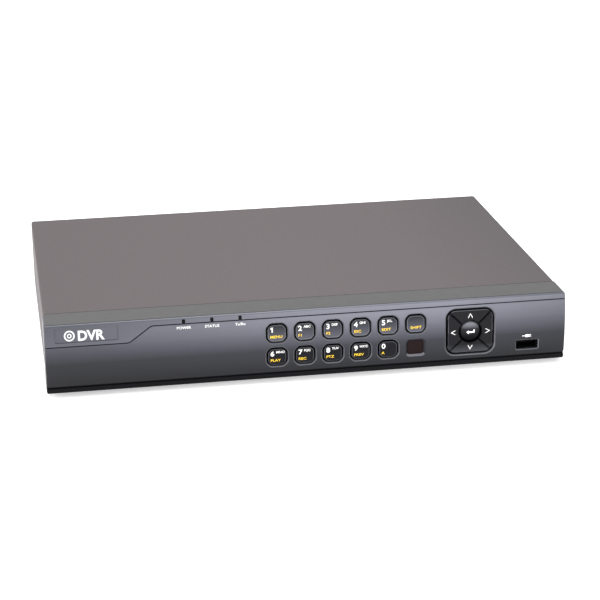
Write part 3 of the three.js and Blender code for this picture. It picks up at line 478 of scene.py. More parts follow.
# Colour, roughness, metal share, grain size and grain height of the plain finishes.
PLAIN_FINISHES = {
    "bezel_top": ((72, 73, 72), 0.5, 0.1, 3000, 0.004),
    # Near black: paints shade into holes, the bezel's inside, the keys' sides and the front port.
    "recess": ((7, 7, 8), 0.7, 0.0, 2500, 0.004),
    # Near black: painted shade on the bezel's downward-facing lower lip and its groove.
    "lip": ((12, 12, 15), 0.5, 0.0, 2500, 0.004),
    # Dark: painted shade in the band's groove, the logo plate's pocket walls and the crown seam.
    "groove": ((46, 47, 54), 0.6, 0.0, 2500, 0.004),
    "ink_white": ((240, 240, 238), 0.5, 0.0, 4000, 0.002),
    "ink_yellow": ((236, 196, 20), 0.5, 0.0, 4000, 0.002),
    "ink_grey": ((222, 222, 226), 0.4, 0.0, 4000, 0.002),
    "ink_black": ((30, 30, 32), 0.5, 0.0, 4000, 0.002),
    "nickel": ((200, 200, 202), 0.22, 1.0, 900, 0.004),
    # A darker copy of nickel: painted shade inside the sockets and on the front port's contacts.
    "dark_nickel": ((110, 110, 114), 0.35, 0.9, 900, 0.004),
    "gold": ((214, 170, 84), 0.25, 1.0, 900, 0.003),
    "copper": ((184, 104, 62), 0.35, 0.9, 1500, 0.02),
    "black": ((24, 24, 26), 0.45, 0.0, 2500, 0.008),
    "chip": ((30, 31, 33), 0.55, 0.0, 3500, 0.006),
    "rubber": ((24, 24, 24), 0.85, 0.0, 1800, 0.02),
    "lamp": ((10, 10, 11), 0.2, 0.0, 1800, 0.001),
    "cast": ((122, 124, 128), 0.5, 0.8, 1200, 0.04),
    "mirror": ((215, 217, 220), 0.07, 1.0, 300, 0.0003),
    "red": ((160, 36, 30), 0.45, 0.0, 900, 0.01),
    "yellow": ((214, 176, 40), 0.45, 0.0, 900, 0.01),
    "blue": ((36, 62, 138), 0.42, 0.0, 900, 0.008),
    "white": ((226, 224, 218), 0.45, 0.0, 900, 0.008),
    "grey_ribbon": ((176, 178, 182), 0.5, 0.0, 900, 0.008),
    "green": ((34, 118, 70), 0.4, 0.0, 900, 0.008),
}
DULL_FINISHES = ("recess", "lip", "groove", "lamp")


def plain_finish(name):
    color, rough, metal, size, height = PLAIN_FINISHES[name]
    finish = Finish(name, srgb(*color), rough, metal).grain(size, height)
    return finish.shine(0.08 if name in DULL_FINISHES else 0.5).done()


def make_materials():
    made = {name: plain_finish(name) for name in PLAIN_FINISHES}
    face, band, coat = srgb(103, 104, 114), srgb(98, 99, 109), srgb(82, 75, 77)
    fleck = srgb(30, 30, 34)
    rich = {
        # The height steps paint the shade of the face's curve, lighter under the band and darker
        # towards the bottom; dim_ends paints shade towards both ends.
        "bezel": Finish("bezel_plastic", face, 0.42, 0.2, 0.015).flecks(scale(face, 1.15), 4200)
        .heights((39, 31, 86, 87, 97), (32, 21, 39, 40, 48), (22, 9, 18, 19, 25))
        .dim_ends(0.62, 0.72).grain(3000, 0.003).shine(0.32, 0.06),
        # dim_ends paints shade towards both ends of the band.
        "bezel_band": Finish("bezel_band_plastic", band, 0.36, 0.2, 0.015)
        .flecks(scale(band, 1.2), 4200).dim_ends(0.62, 0.8).grain(3000, 0.003).shine(0.35, 0.12),
        # The face plastic's own colour, left out of the face's painted shade, so the rims of the
        # openings and the window sill show as a lighter painted highlight.
        "bezel_rim": Finish("bezel_rim_plastic", srgb(104, 105, 112), 0.3, 0.2)
        .grain(3000, 0.003).shine(coat=0.3),
        # The height steps paint light and shade: the upper row of keys is lighter at its lower edge
        # and darkens towards its top.
        "key": Finish("key_plastic", srgb(22, 22, 26), 0.5).flecks(fleck, 5000)
        .heights((24, 25, 84, 85, 93), (27, 37, 36, 36, 41)).grain(3500, 0.003).shine(0.08),
        # The height step paints the lower direction key lighter towards its lower edge.
        "pad": Finish("pad_plastic", srgb(22, 22, 25), 0.5).flecks(fleck, 5000)
        .heights((17, 11, 64, 65, 70)).grain(3500, 0.003).shine(0.1),
        # The height steps paint the dome's shading: light on top, nearly black at the bottom.
        "dome": Finish("dome_plastic", srgb(112, 113, 119), 0.42)
        .heights((29.5, 26.5, 38, 38, 42), (26.5, 21, 4, 4, 5)).grain(3500, 0.003).shine(0.06),
        # A lighter copy of the key plastic for the caps' bevelled rims: a painted highlight,
        # brighter on the upper row and fading towards its top.
        "cap_rim_highlight": Finish("cap_rim_plastic", srgb(56, 56, 62), 0.4)
        .heights((24, 25, 112, 113, 120), (26, 37, 66, 67, 73)).grain(3500, 0.003).shine(0.3),
        # dim_ends paints shade towards both ends of the cover.
        "cover": Finish("powder_coat", coat, 0.6, 0.05, 0.004)
        .flecks(scale(coat, 1.08), 1500, 0.54, 0.66).flecks(scale(coat, 0.92), 1700, 0.6, 0.7)
        .dim_ends(0.9, 0.8).set_roughness(0.6, 0.02, 400).grain(2200, 0.004, detail=1.5),
        "steel": Finish("zinc_plated_steel", srgb(172, 174, 177), 0.36, 0.9, 0.04, 60)
        .set_roughness(0.36, 0.06, 40, (1, 9, 9)).grain(120, 0.006, (1, 14, 14)),
        "aluminium": Finish("brushed_aluminium", srgb(178, 180, 184), 0.32, 0.9)
        .grain(260, 0.008, (1, 16, 1)),
        "ir": Finish("infrared_filter", srgb(24, 8, 9), 0.4).grain(900, 0.001).shine(0.1),
        "board": Finish("solder_mask", srgb(22, 78, 48), 0.3)
        .flecks(srgb(48, 112, 74), 420, 0.57, 0.6).grain(700, 0.02).shine(coat=0.3),
    }
    made.update({name: finish.done() for name, finish in rich.items()})
    return made


MATERIALS = make_materials()
SLOT_MATERIAL = {
    "bezel": "bezel", "keys": "key", "painted_steel": "cover", "bare_steel": "steel",
    "nickel": "nickel", "black_plastic": "black", "rubber": "rubber", "ir_filter": "ir",
    "light_guide": "lamp", "circuit_board": "board", "aluminium": "aluminium",
    "cast_aluminium": "cast", "mirror_disc": "mirror", "red_plastic": "red",
    "white_plastic": "white", "green_plastic": "green",
}
for cad_node, cad_slot in SLOT_OF.items():
    cad_mesh = frame["nodes"][cad_node].data
    cad_mesh.materials.clear()
    cad_mesh.materials.append(MATERIALS[SLOT_MATERIAL[cad_slot]])


# ------------------------------------------------------------------ front bezel
def on_face(outline, proud):
    """An outline of (x, z) laid on the front face and moved forwards."""
    return [(x, face_y(z) - proud, z) for x, z in outline]


def bevelled_opening(outline, flare, depth, rear_y=BEZEL_REAR_Y):
    """A cutter for a hole through the face, whose rim slopes in."""
    wide = grown(outline, flare)
    return loft([on_face(wide, 3), on_face(wide, 0.01), on_face(outline, -depth),
                 [(x, rear_y, z) for x, z in outline]])


def face_pocket(outline, depth, rim):
    """A cutter for a shallow recess that follows the face."""
    wide = grown(outline, rim)
    return loft([on_face(wide, 2), on_face(wide, 0.01), on_face(outline, -depth)])


def band_line():
    """The line under the upper band: low at the left, then up to the level stretch."""
    low, high = BAND_LOW_Z, BAND_HIGH_Z
    return (
        [(-170, low), (-130, low)]
        + arc(-109.6, low + 5.0, 5.0, 270, 305, 6)
        + arc(-93.4, high - 4.0, 4.0, 125, 90, 6)
        + [(-40, high), (60, high), (170, high)]
    )


def band_z(x):
    """The height of the band's lower line at x."""
    line = band_line()
    for (x0, z0), (x1, z1) in zip(line, line[1:]):
        if x0 <= x <= x1:
            return z0 + (z1 - z0) * (x - x0) / (x1 - x0)
    return line[-1][1]


def band_groove():
    """A vee cutter along the band's line."""
    line = [Vector(p) for p in band_line()]
    half, deep, clear = 0.35, 0.5, 1.5
    rings = []
    for i, point in enumerate(line):
        along = (line[min(i + 1, len(line) - 1)] - line[max(i - 1, 0)]).normalized()
        across = Vector((-along.y, along.x)) * half
        (x0, z0), (x1, z1) = point - across, point + across
        rings.append([
            (x0, face_y(z0) - clear, z0), (x0, face_y(z0) - 0.01, z0),
            (point.x, face_y(point.y) + deep, point.y),
            (x1, face_y(z1) - 0.01, z1), (x1, face_y(z1) - clear, z1),
        ])
    return loft(rings)


def bezel_profile():
    """The bezel's outer outline in (y, z), counter-clockwise seen from the right."""
    low, high = BEZEL_LOW, BEZEL_HIGH
    top_z, steps = high.z - CROWN_RADIUS, 56
    start, groove_low = LOWER_GROOVE_Z + 0.6, LOWER_GROOVE_Z - 0.6
    above = start + 1.5
    heights = [start] + [above + (top_z - above) * i / steps for i in range(steps + 1)]
    face = [(face_y(z), z) for z in heights]
    groove = [(low.y + 2.4, start), (low.y + 2.4, groove_low), (low.y + 1.4, groove_low)]
    lip = arc(low.y + 3.4, low.z + 2, 2, 180, 270, 10)
    crown = arc(face_y(top_z) + CROWN_RADIUS, top_z, CROWN_RADIUS, 180, 90, 8)[1:]
    return [(high.y, high.z)] + crown[::-1] + face[::-1] + groove + lip + [(high.y, low.z)]


def side_rounded(profile, low, high, edge, steps=5):
    """A (y, z) outline extruded along x, with rounded ends."""
    rings = []
    for turn in range(steps + 1):
        angle = math.radians(90 * turn / steps)
        small = grown(profile, edge * (math.sin(angle) - 1))
        rings.append([(low + edge * (1 - math.cos(angle)), u, v) for u, v in small])
    mirrored = [[(low + high - x, y, z) for x, y, z in ring] for ring in reversed(rings)]
    return loft(rings + mirrored)


def bezel_cavity():
    """Cutters for the bezel's hollow and for the floor that reaches into it."""
    low, high, wall = BEZEL_LOW, BEZEL_HIGH, BEZEL_WALL
    left, right, rear, steps = low.x + wall, high.x - wall, high.y + 5, 16
    heights = [low.z + wall + (high.z - low.z - 2 * wall) * i / steps for i in range(steps + 1)]
    inside = [(face_y(z) + wall + 0.4, z) for z in heights]
    inside += [(rear, high.z - wall), (rear, low.z + wall)]
    return (loft([[(x, y, z) for y, z in inside] for x in (left, right)]),
            block(left, right, -107, rear, low.z - 5, low.z + wall + 1, 0.1, 0.2))


def face_openings():
    """Cutters for the keys, the pad, the front port and the lamps."""
    cutters = []
    for name in KEY_NAMES:
        at = centre_mm("key_" + name)
        hole = grown(key_outline(at.x + 0.12, at.z - 0.25), 0.2)
        cutters.append(bevelled_opening(hole, 0.6, 0.55))
    pad, port = centre_mm("key_enter"), centre_mm("front_usb_port")
    around_pad = rounded(30.0, 29.2, 6.0, pad.x + 0.15, pad.z - 0.4, 10)
    cutters.append(bevelled_opening(around_pad, 0.7, 0.6))
    cutters.append(bevelled_opening(rounded(14.0, 6.2, 0.7, port.x, port.z, 5), 0.35, 0.35))
    for x, z in lamp_places():
        cutters.append(bevelled_opening(rounded(1.9, 2.5, 0.3, x, z, 3), 0.12, 0.1, -112.5))
    return together(*cutters)


def crown_seam(y):
    """A vee cutter along the seam between the crown and the strip on top."""
    top = BEZEL_HIGH.z
    vee = [(y + 0.35, top + 0.5), (y + 0.3, top - 0.1), (y, top - 0.5),
           (y - 0.3, top - 0.1), (y - 0.35, top + 0.5)]
    return prism("x", vee, BEZEL_LOW.x - 2, BEZEL_HIGH.x + 2)


def paint_bezel(thing, crown_y, window):
    """Gives the band and the strip on top their own finishes, a lighter rim finish to the window
    sill, and painted shade to the lower lip and the inside.
    """
    top, right = BEZEL_HIGH.z, BEZEL_HIGH.x
    _, _, plate_x, plate_z = LOGO_PLATE

    def deep(p):
        return p.y - face_y(p.z)

    def in_band(p):
        outside = abs(deep(p)) < 0.05 or p.z > top - CROWN_RADIUS
        return p.z > band_z(p.x) + 0.1 and outside and p.z < top - 0.02 and p.y < crown_y - 0.36

    def in_plate(p):
        return 0.3 < deep(p) < 0.6 and abs(p.x - plate_x) < 18 and abs(p.z - plate_z) < 4

    # The sill under the window takes the rim finish, lighter than the shaded face: a painted
    # highlight.
    def window_sill(p):
        return (0.1 < deep(p) < 1.1 and abs(p.x - window.x) < 5.5
                and -6.5 < p.z - window.z < -4.6)

    def inside(p):
        return deep(p) > 1.9 and p.z < top - 0.2 and abs(p.x) < right - 1.2

    paint_faces(thing, "bezel_band", in_band)
    paint_faces(thing, "bezel_band", in_plate)
    paint_faces(thing, "bezel_rim", window_sill)
    paint_faces(thing, "bezel_top", lambda p: p.z > top - 0.02)
    # Painted shade: the inside is near black, and the lower lip and its groove are dark.
    paint_faces(thing, "recess", inside)
    paint_faces(thing, "lip",
                lambda p: p.z < LOWER_GROOVE_Z + 0.58 and p.y < BEZEL_LOW.y + 9)


def build_bezel():
    profile = side_rounded(bezel_profile(), BEZEL_LOW.x, BEZEL_HIGH.x, 1.1)
    thing = new_object("fine_front_bezel", profile, "bezel")
    window = centre_mm("ir_window")
    around_window = rounded(10.0, 9.1, 1.6, window.x + 0.2, window.z - 0.4, 6)
    width, height, x, z = LOGO_PLATE
    plate = rounded(width, height, 0.5, x, z, 4)
    crown_y = face_y(BEZEL_HIGH.z - CROWN_RADIUS) + CROWN_RADIUS
    # The hollow's walls take near-black painted shade.
    combine(thing, "cut", "recess", *bezel_cavity())
    # The openings' sloping rims take the rim finish, a painted highlight.
    combine(thing, "cut", "bezel_rim", face_openings())
    combine(thing, "cut", "bezel", bevelled_opening(around_window, 1.2, 1.2))
    # The band's groove, the logo plate's pocket walls and the crown seam take a dark painted shade.
    combine(thing, "cut", "groove", band_groove(), face_pocket(plate, LOGO_DEPTH, 0.05),
            crown_seam(crown_y))
    paint_bezel(thing, crown_y, window)
    dress(thing, "front_bezel", 28)


# ------------------------------------------------------------------ signs and lettering
SIGN_HALF = 0.02  # half the thickness of the ink


def lettering(text, height, x, z, wide=1.0, bold=0.0, align="LEFT"):
    """Text as a thin solid in (x, depth, z): capitals of a height, with the baseline at z."""
    cap_share = 0.7  # capital height of the built-in face, as a share of its size
    curve = bpy.data.curves.new("lettering", "FONT")
    curve.body = text
    curve.size = height / cap_share
    curve.align_x = align
    curve.offset = bold
    curve.extrude = SIGN_HALF
    curve.resolution_u = 3
    helper = shown("lettering", curve)
    view = bpy.context.evaluated_depsgraph_get()
    mesh = bpy.data.meshes.new_from_object(helper.evaluated_get(view))
    points = [(x + v.co.x * wide, v.co.z, z + v.co.y) for v in mesh.vertices]
    faces = [tuple(polygon.vertices) for polygon in mesh.polygons]
    bpy.data.objects.remove(helper)
    bpy.data.meshes.remove(mesh)
    bpy.data.curves.remove(curve)
    return points, faces


def flat_sign(outline):
    """An outline of (x, z) as a thin solid, like lettering."""
    return prism("y", outline, -SIGN_HALF, SIGN_HALF)


def plate_sign(width, height, radius, x, z, steps=2):
    return flat_sign(rounded(width, height, radius, x, z, steps))


def digit_one(height, x, z):
    """The figure 1 with a flag at its upper left."""
    stem, right = height * 0.26, x + height * 0.48
    return flat_sign([
        (right - stem, z), (right, z), (right, z + height), (right - stem * 0.85, z + height),
        (x, z + height * 0.8), (x, z + height * 0.6), (right - stem, z + height * 0.7),
    ])


def ring_sign(x, z, outer, inner, count=28):
    points, faces = [], []
    for depth in (-SIGN_HALF, SIGN_HALF):
        for radius in (outer, inner):
            points += [(u, depth, v) for u, v in circle(x, z, radius, count)]
    for i in range(count):
        j = (i + 1) % count
        for a, b in ((0, 1), (1, 3), (3, 2), (2, 0)):
            faces.append((a * count + i, a * count + j, b * count + j, b * count + i))
    return points, faces


def facing_rear(shape, x):
    """A sign mirrored about x, so that it reads properly from behind."""
    return [(2 * x - u, -depth, v) for u, depth, v in shape[0]], shape[1]


def printed(name, signs, surface, node, raised=0.015):
    """Ink on a surface: signs are (shape, material); surface gives y at (x, z)."""
    inks = list(dict.fromkeys(ink for _, ink in signs))
    marks = [inks.index(ink) for sign, ink in signs for _ in sign[1]]
    points, faces = together(*[sign for sign, _ in signs])
    points = [(x, surface(x, z) - raised + depth, z) for x, depth, z in points]
    thing = new_object(name, (points, faces), *inks, marks=marks, merge=2e-6)
    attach(thing, BODY_OF[node])


# ------------------------------------------------------------------ keys
KEY_LEGENDS = {
    "1": ("", "MENU"), "2": ("ABC", "F1"), "3": ("DEF", "F2"), "4": ("GHI", "ESC"),
    "5": ("JKL", "EDIT"), "shift": ("", "SHIFT"), "6": ("MNO", "PLAY"), "7": ("PQRS", "REC"),
    "8": ("TUV", "PTZ"), "9": ("WXYZ", "PREV"), "0": ("", "A"),
}
KEY_NAMES = list(KEY_LEGENDS)


def lamp_places():
    """Centres of the three lamp windows, in (x, z)."""
    low, high = box_mm("led_light_guide")
    first, last = low.x + 3.6, high.x - 2.4
    return [(x, high.z - 1.1) for x in (first, (first + last) / 2, last)]


def cap_rings(outline, proud, edge, drop, rear_y=FLANGE_Y, steps=3):
    """Rings of a key cap that follows the face, with a bevelled rim."""
    rings = [[(x, rear_y, z) for x, z in outline]]
    for step in range(steps + 1):
        share = step / steps
        rise = drop * (1 - (1 - share) ** 1.4)
        rings.append(on_face(grown(outline, -edge * share), proud - drop + rise))
    return rings


def stem(node, x, z):
    return rod("y", STEM_RADIUS, -116, box_mm(node)[1].y, x, z, 16)


def on_cap(x, z):
    """Where a key's front lies at (x, z)."""
    return face_y(z) - KEY_PROUD


def on_cap_rim(p):
    return 0.12 < p.y - on_cap(p.x, p.z) < 0.5


def behind_face(p):
    return p.y > face_y(p.z) + 0.2


def build_key(name):
    node = "key_" + name
    at = centre_mm(node)
    hole = key_outline(at.x, at.z)
    flange = slab("y", grown(hole, 0.7), FLANGE_Y - 0.6, FLANGE_Y)
    cap = piece(node, "key", loft(cap_rings(grown(hole, -KEY_SLACK), KEY_PROUD, KEY_EDGE, 0.55)),
                ("join", "key", flange, stem(node, at.x, at.z)))
    # Painted highlight on the cap's bevelled rim, and near-black painted shade on the sides, flange
    # and stem behind the face.
    paint_faces(cap, "cap_rim_highlight", on_cap_rim)
    paint_faces(cap, "recess", behind_face)
    letters, word = KEY_LEGENDS[name]
    left, line = at.x - 4.1, at.z - 2.8
    if name == "shift":
        signs = [(lettering(word, 1.6, at.x, line, 1.2, 0.04, "CENTER"), "ink_yellow")]
    else:
        digit = (digit_one(3.0, left + 0.3, at.z + 0.8) if name == "1"
                 else lettering(name, 3.0, left, at.z + 0.8, 1.1, 0.11))
        signs = [(digit, "ink_white"),
                 (lettering(word, 1.6, left, line, 1.18, 0.04), "ink_yellow")]
    if letters:
        wide = 1.1 if len(letters) < 4 else 0.82
        signs.append((lettering(letters, 1.4, left + 3.4, at.z + 2.5, wide, 0.04), "ink_white"))
    printed("legend_" + name, signs, on_cap, node)


def wedge_outline(width, height, radius):
    """The upper quarter of the pad about its centre, outside the enter key's ring."""
    ring, half = ENTER_RADIUS + ENTER_SLACK, PAD_SPLIT / 2
    slope = Vector((width, height)).normalized()
    normals = [Vector((-slope.y, slope.x)), Vector((slope.y, slope.x))]
    outer = rounded(width, height, radius, 0, 0, 10)
    inside = [p for p in outer if all(n.dot(Vector(p)) > half + 0.8 for n in normals)]
    inside.sort(key=lambda p: math.atan2(p[1], p[0]))
    start = slope * math.sqrt(ring**2 - half**2) + normals[0] * half
    angle = math.degrees(math.atan2(start.y, start.x))
    corner = slope * slope.dot(Vector(inside[0])) + normals[0] * half
    return ([tuple(corner)] + inside + [(-corner.x, corner.y)]
            + arc(0, 0, ring, 180 - angle, angle, 10))


def about_pad(points, turn):
    """Points about the pad's centre, turned by quarters and moved to the pad."""
    pad = centre_mm("key_enter")
    cos, sin = math.cos(math.radians(-90 * turn)), math.sin(math.radians(-90 * turn))
    return [(pad.x + u * cos - v * sin, pad.z + u * sin + v * cos) for u, v in points]


def build_direction_key(name, turn):
    node = "key_" + name
    width, height, radius = (PAD_SIZE[0] - 2 * KEY_SLACK, PAD_SIZE[1] - 2 * KEY_SLACK,
                             PAD_SIZE[2] - KEY_SLACK)
    pad = centre_mm("key_enter")
    across, up = (height, width) if turn % 2 else (width, height)
    outline = about_pad(wedge_outline(across, up, radius), turn)
    foot = about_pad([(0, PAD_REACH[1 - turn % 2])], turn)[0]
    cap = piece(node, "pad", loft(cap_rings(outline, KEY_PROUD, 0.55, 0.6)),
                ("join", "pad", stem(node, *foot)))

    def outer_rim(p):
        return on_cap_rim(p) and max(abs(p.x - pad.x) / width, abs(p.z - pad.z) / height) > 0.46

    # Near-black painted shade on the parts behind the face, and a painted highlight on the outer
    # rim.
    paint_faces(cap, "recess", behind_face)
    paint_faces(cap, "cap_rim_highlight", outer_rim)
    # The chevron, pointing away from the pad's centre.
    rise, wing, thick, tip = 1.2, 1.35, 0.8, up / 2 - 2.95
    arrow = [(-wing, tip - rise - thick), (0, tip + rise - thick), (wing, tip - rise - thick),
             (wing, tip - rise), (0, tip + rise), (-wing, tip - rise)]
    printed("chevron_" + name, [(flat_sign(about_pad(arrow, turn)), "ink_white")], on_cap, node)


def build_enter_key():
    node = "key_enter"
    low, high = box_mm(node)
    at = centre_mm(node)
    shoulder, bulge, rim = low.y + 1.56, 1.5, low.y + 6.4
    profile = [(0, high.y), (1.5, high.y), (1.5, rim + 0.5), (7.3, rim + 0.5),
               (7.3, rim), (ENTER_RADIUS, rim)]
    profile += [(ENTER_RADIUS * u, shoulder - bulge * v) for u, v in arc(0, 0, 1, 0, 90, 10)]
    piece(node, "dome", turned(profile, "y", at.x, at.z, 56))

    def dome_y(x, z):
        share = min(1.0, math.hypot(x - at.x, z - at.z) / ENTER_RADIUS)
        return shoulder - bulge * math.sqrt(1 - share**2)

    # The return arrow as upright strips, so that it follows the dome: head, shaft and tail.
    strips = [(-2.6 + 0.2 * i, -0.21 - 0.16 * i, -0.19 + 0.15 * i) for i in range(9)]
    strips += [(-1.0 + 0.28 * i, -0.66, 0.26) for i in range(11)]
    strips += [(1.81 + 0.2 * i, -0.66, 1.36) for i in range(5)]
    rings = []
    for u, low_v, high_v in strips:
        line = [at.z + low_v + (high_v - low_v) * k / 6 for k in range(7)]
        rings.append([(at.x + u, -SIGN_HALF, v) for v in line]
                     + [(at.x + u, SIGN_HALF, v) for v in reversed(line)])
    printed("return_arrow", [(loft(rings), "ink_white")], dome_y, node, 0.02)


# ------------------------------------------------------------------ small pieces on the front
def front_signs():
    """Words over the lamps, a plain plug pictogram and a generic sign on the plate."""
    signs = [(lettering(word, 1.5, x, z - 4.4, 1.15, 0.03, "CENTER"), "ink_white")
             for (x, z), word in zip(lamp_places(), ("POWER", "STATUS", "Tx/Rx"))]
    port = centre_mm("front_usb_port")
    x, z = port.x - 0.3, port.z + 5.9
    plug = [plate_sign(2.4, 1.7, 0.35, x, z, 3), plate_sign(1.4, 0.45, 0.1, x + 1.8, z + 0.45),
            plate_sign(1.4, 0.45, 0.1, x + 1.8, z - 0.45), plate_sign(2.0, 0.45, 0.1, x - 2.1, z)]
    _, _, x, z = LOGO_PLATE
    sign = [ring_sign(x - 9.9, z - 0.3, 3.2, 2.3), ring_sign(x - 9.9, z - 0.3, 1.4, 0.7),
            lettering("DVR", 5.7, x - 5.3, z - 3.3, 0.97, 0.28)]
    return (signs + [(shape, "ink_white") for shape in plug]
            + [(shape, "ink_grey") for shape in sign])


def build_front_details():
    window = centre_mm("ir_window")
    outline = rounded(9.9, 9.0, 1.5, window.x + 0.2, window.z - 0.35, 6)
    piece("ir_window", "ir", loft(cap_rings(outline, -1.2, 0.3, 0.3, -116.0)))
    tips = []
    for x, z in lamp_places():
        outline = rounded(1.6, 2.2, 0.2, x, z, 2)
        tips.append(loft([[(u, -113.0, v) for u, v in outline], on_face(outline, -0.3),
                          on_face(grown(outline, -0.15), -0.15)]))
    low, high = box_mm("led_light_guide")
    rail = block(low.x + 0.2, high.x - 0.2, -113.9, -112.55, low.z + 0.1, high.z - 0.3, 0.15, 0.2)
    piece("led_light_guide", "lamp", rail, ("join", "lamp", together(*tips)))

    def sign_y(x, z):
        on_plate = abs(x - LOGO_PLATE[2]) < LOGO_PLATE[0] / 2
        return face_y(z) + (LOGO_DEPTH if on_plate else 0)

    printed("front_printing", front_signs(), sign_y, "front_bezel")


def build_front_port():
    node = "front_usb_port"
    low, high = box_mm(node)
    x, z, half = (low.x + high.x) / 2, (low.z + high.z) / 2, (high.x - low.x) / 2
    # The port is near black throughout, painted shade for a socket sunk in the face; its contacts
    # take the darker nickel, painted shade too.
    piece(
        node, "recess", filled(node, lift=0),
        ("cut", "recess", bar(x, half - 0.4, low.y - 2, high.y - 0.8, low.z + 0.4, high.z - 0.4)),
        ("join", "recess", bar(x, 5.4, low.y + 2.2, high.y - 0.4, z + 0.1, z + 1.9)),
        ("join", "dark_nickel", *[bar(x + u, 0.5, low.y + 2.8, high.y - 1.2, z - 0.05, z + 0.3,
                                      0.05, 0.1) for u in (-3.5, -1, 1, 3.5)]),
    )


def build_keypad_board():
    high = box_mm("keypad_board")[1]
    front = high.y - 1.6
    places = [(at.x, at.z) for at in (centre_mm("key_" + name) for name in KEY_NAMES)]
    pad = centre_mm("key_enter")
    across, up = PAD_REACH
    places += [(pad.x + u, pad.z + v) for u, v in ((0, up), (across, 0), (0, -up), (-across, 0))]
    places.append((pad.x, pad.z))
    port_low, port_high = box_mm("front_usb_port")
    port_hole = bar((port_low.x + port_high.x) / 2, (port_high.x - port_low.x) / 2 + 0.5,
                    front - 1, high.y + 2, port_low.z - 0.5, port_high.z + 0.5)
    receiver = centre_mm("ir_window")
    switches = [bar(x, 2.6, front - 3, front + 0.3, z - 2.6, z + 2.6) for x, z in places]
    plungers = [rod("y", STEM_RADIUS, PLUNGER_FRONT, front - 2.8, x, z, 16) for x, z in places]
    lamps = [bar(x, 1.2, front - 1.1, front + 0.2, z - 3.4, z - 2.4) for x, z in lamp_places()]
    piece(
        "keypad_board", "black", bar(33, 119, front, high.y, 7, 41, 0.1, 1.0),
        ("cut", "black", port_hole),
        ("join", "chip", together(*switches)),
        ("join", "nickel", together(*plungers)),
        ("join", "white", together(*lamps)),
        ("join", "ink_black", bar(receiver.x, 3, front - 4.6, front + 0.3,
                                  receiver.z - 3, receiver.z + 3, 0.4, 0.6)),
    )


# ------------------------------------------------------------------ sheet metal
def side_slots(wall_x):
    """Cutters for rounded slots in front of the fan, longer in the middle."""
    fan, pitch, radius = centre_mm("fan_frame"), 4.4, 15
    slots = []
    for i in range(-3, 4):
        height = 2 * math.sqrt(radius**2 - (pitch * i) ** 2)
        outline = rounded(2.2, height, 1.0, fan.y + pitch * i, fan.z, 5)
        slots.append(prism("x", outline, wall_x - 2, wall_x + 1))
    return slots


def screw_holes(nodes, radius):
    """Cutters through the rear sheets for screws."""
    return [rod("y", radius, PANEL_Y - 4, PANEL_Y + 3, centre_mm(node).x, centre_mm(node).z)
            for node in nodes]


def cover_tongue(front, top):
    """The joggled strip that goes under the bezel's rear edge."""
    shape = [(front - 5.9, top - 3.4), (front + 0.3, top - 3.4), (front + 1.1, top - 2.6),
             (front + 1.1, top - 0.5), (front + 0.2, top - 0.5), (front + 0.2, top - 2.45),
             (front - 5.9, top - 2.45)]
    return slab("x", shape, -150, 150, 0.1)


def cover_corner(side, high):
    """A cutter that rounds one of the cover's rear corners in plan."""
    radius, beyond = 2.5, 1.0
    x, y = high.x - radius, high.y - radius
    outline = arc(x, y, radius, 90, 0, 8)
    outline += [(high.x + beyond, y), (high.x + beyond, high.y + beyond), (x, high.y + beyond)]
    return prism("z", [(side * u, v) for u, v in outline][::side], 0, 60)


def build_cover():
    low, high = box_mm("top_cover")
    front, bend, sheet, lip_low = BEZEL_HIGH.y + 0.6, 1.25, 1.0, 36.5

    def path(inset, radius):
        half, top = high.x - inset, high.z - inset
        return ([(half, low.z)] + arc(half - radius, top - radius, radius, 0, 90, 8)
                + arc(-half + radius, top - radius, radius, 90, 180, 8) + [(-half, low.z)])

    outline = path(0, bend) + path(sheet, bend - sheet)[::-1]
    half = high.x - sheet + 0.3
    lip = block(-half, half, high.y - sheet, high.y, lip_low, high.z - 0.4, 0.12, 0.2)
    piece(
        "top_cover", "cover", slab("y", outline, front, high.y, 0.12),
        ("join", "cover", lip, cover_tongue(front, high.z)),
        ("cut", "cover", together(*screw_holes(COVER_SCREWS, 1.75), *side_slots(high.x)),
         *[cover_corner(side, high) for side in (-1, 1)]),
        smooth=28,
    )


# Openings in the rear panel: height of the middle, width, height and corner radius.
RECTANGULAR_OPENINGS = {
    "vga_port": (VGA_Z, 17.4, 9, 1.4), "hdmi_port": (12.4, 15.6, 6.2, 0.4),
    "rear_usb_port": (12.6, 14, 6.6, 0.4), "lan_port": (15.8, 16.8, 13.6, 0.4),
    "serial_terminal": (13.6, 11.6, 9.2, 0.4),
    "power_switch_body": (centre_mm("power_switch_body").z, 13.6, 19.6, 1),
}
# Heights of the middle and radius.
ROUND_OPENINGS = {
    "video_in_1_2": (JACK_Z, 6.5), "video_in_3_4": (JACK_Z, 6.5), "video_out": (JACK_Z[:1], 6.5),
    "audio_jacks": (JACK_Z, 4.6), "power_jack": ((POWER_Z,), 5), "ground_screw": ((14,), 2),
}


def rear_openings():
    """Cutters for the rear panel's sockets and its row of vents."""
    spots = [(centre_mm(node).x, *size) for node, size in RECTANGULAR_OPENINGS.items()]
    spots += [(-52 + 9 * i, 30, 2.4, 8, 1.15) for i in range(12)]
    round_spots = [(centre_mm(node).x, z, radius) for node, (heights, radius)
                   in ROUND_OPENINGS.items() for z in heights]
    round_spots += [(centre_mm("vga_port").x + u, VGA_Z, 3) for u in VGA_NUT_X]
    return ([prism("y", rounded(width, height, radius, x, z, 4), PANEL_Y - 3, PANEL_Y + 1)
             for x, z, width, height, radius in spots]
            + [rod("y", radius, PANEL_Y - 3, PANEL_Y + 1, x, z, 32, 0.01)
               for x, z, radius in round_spots])


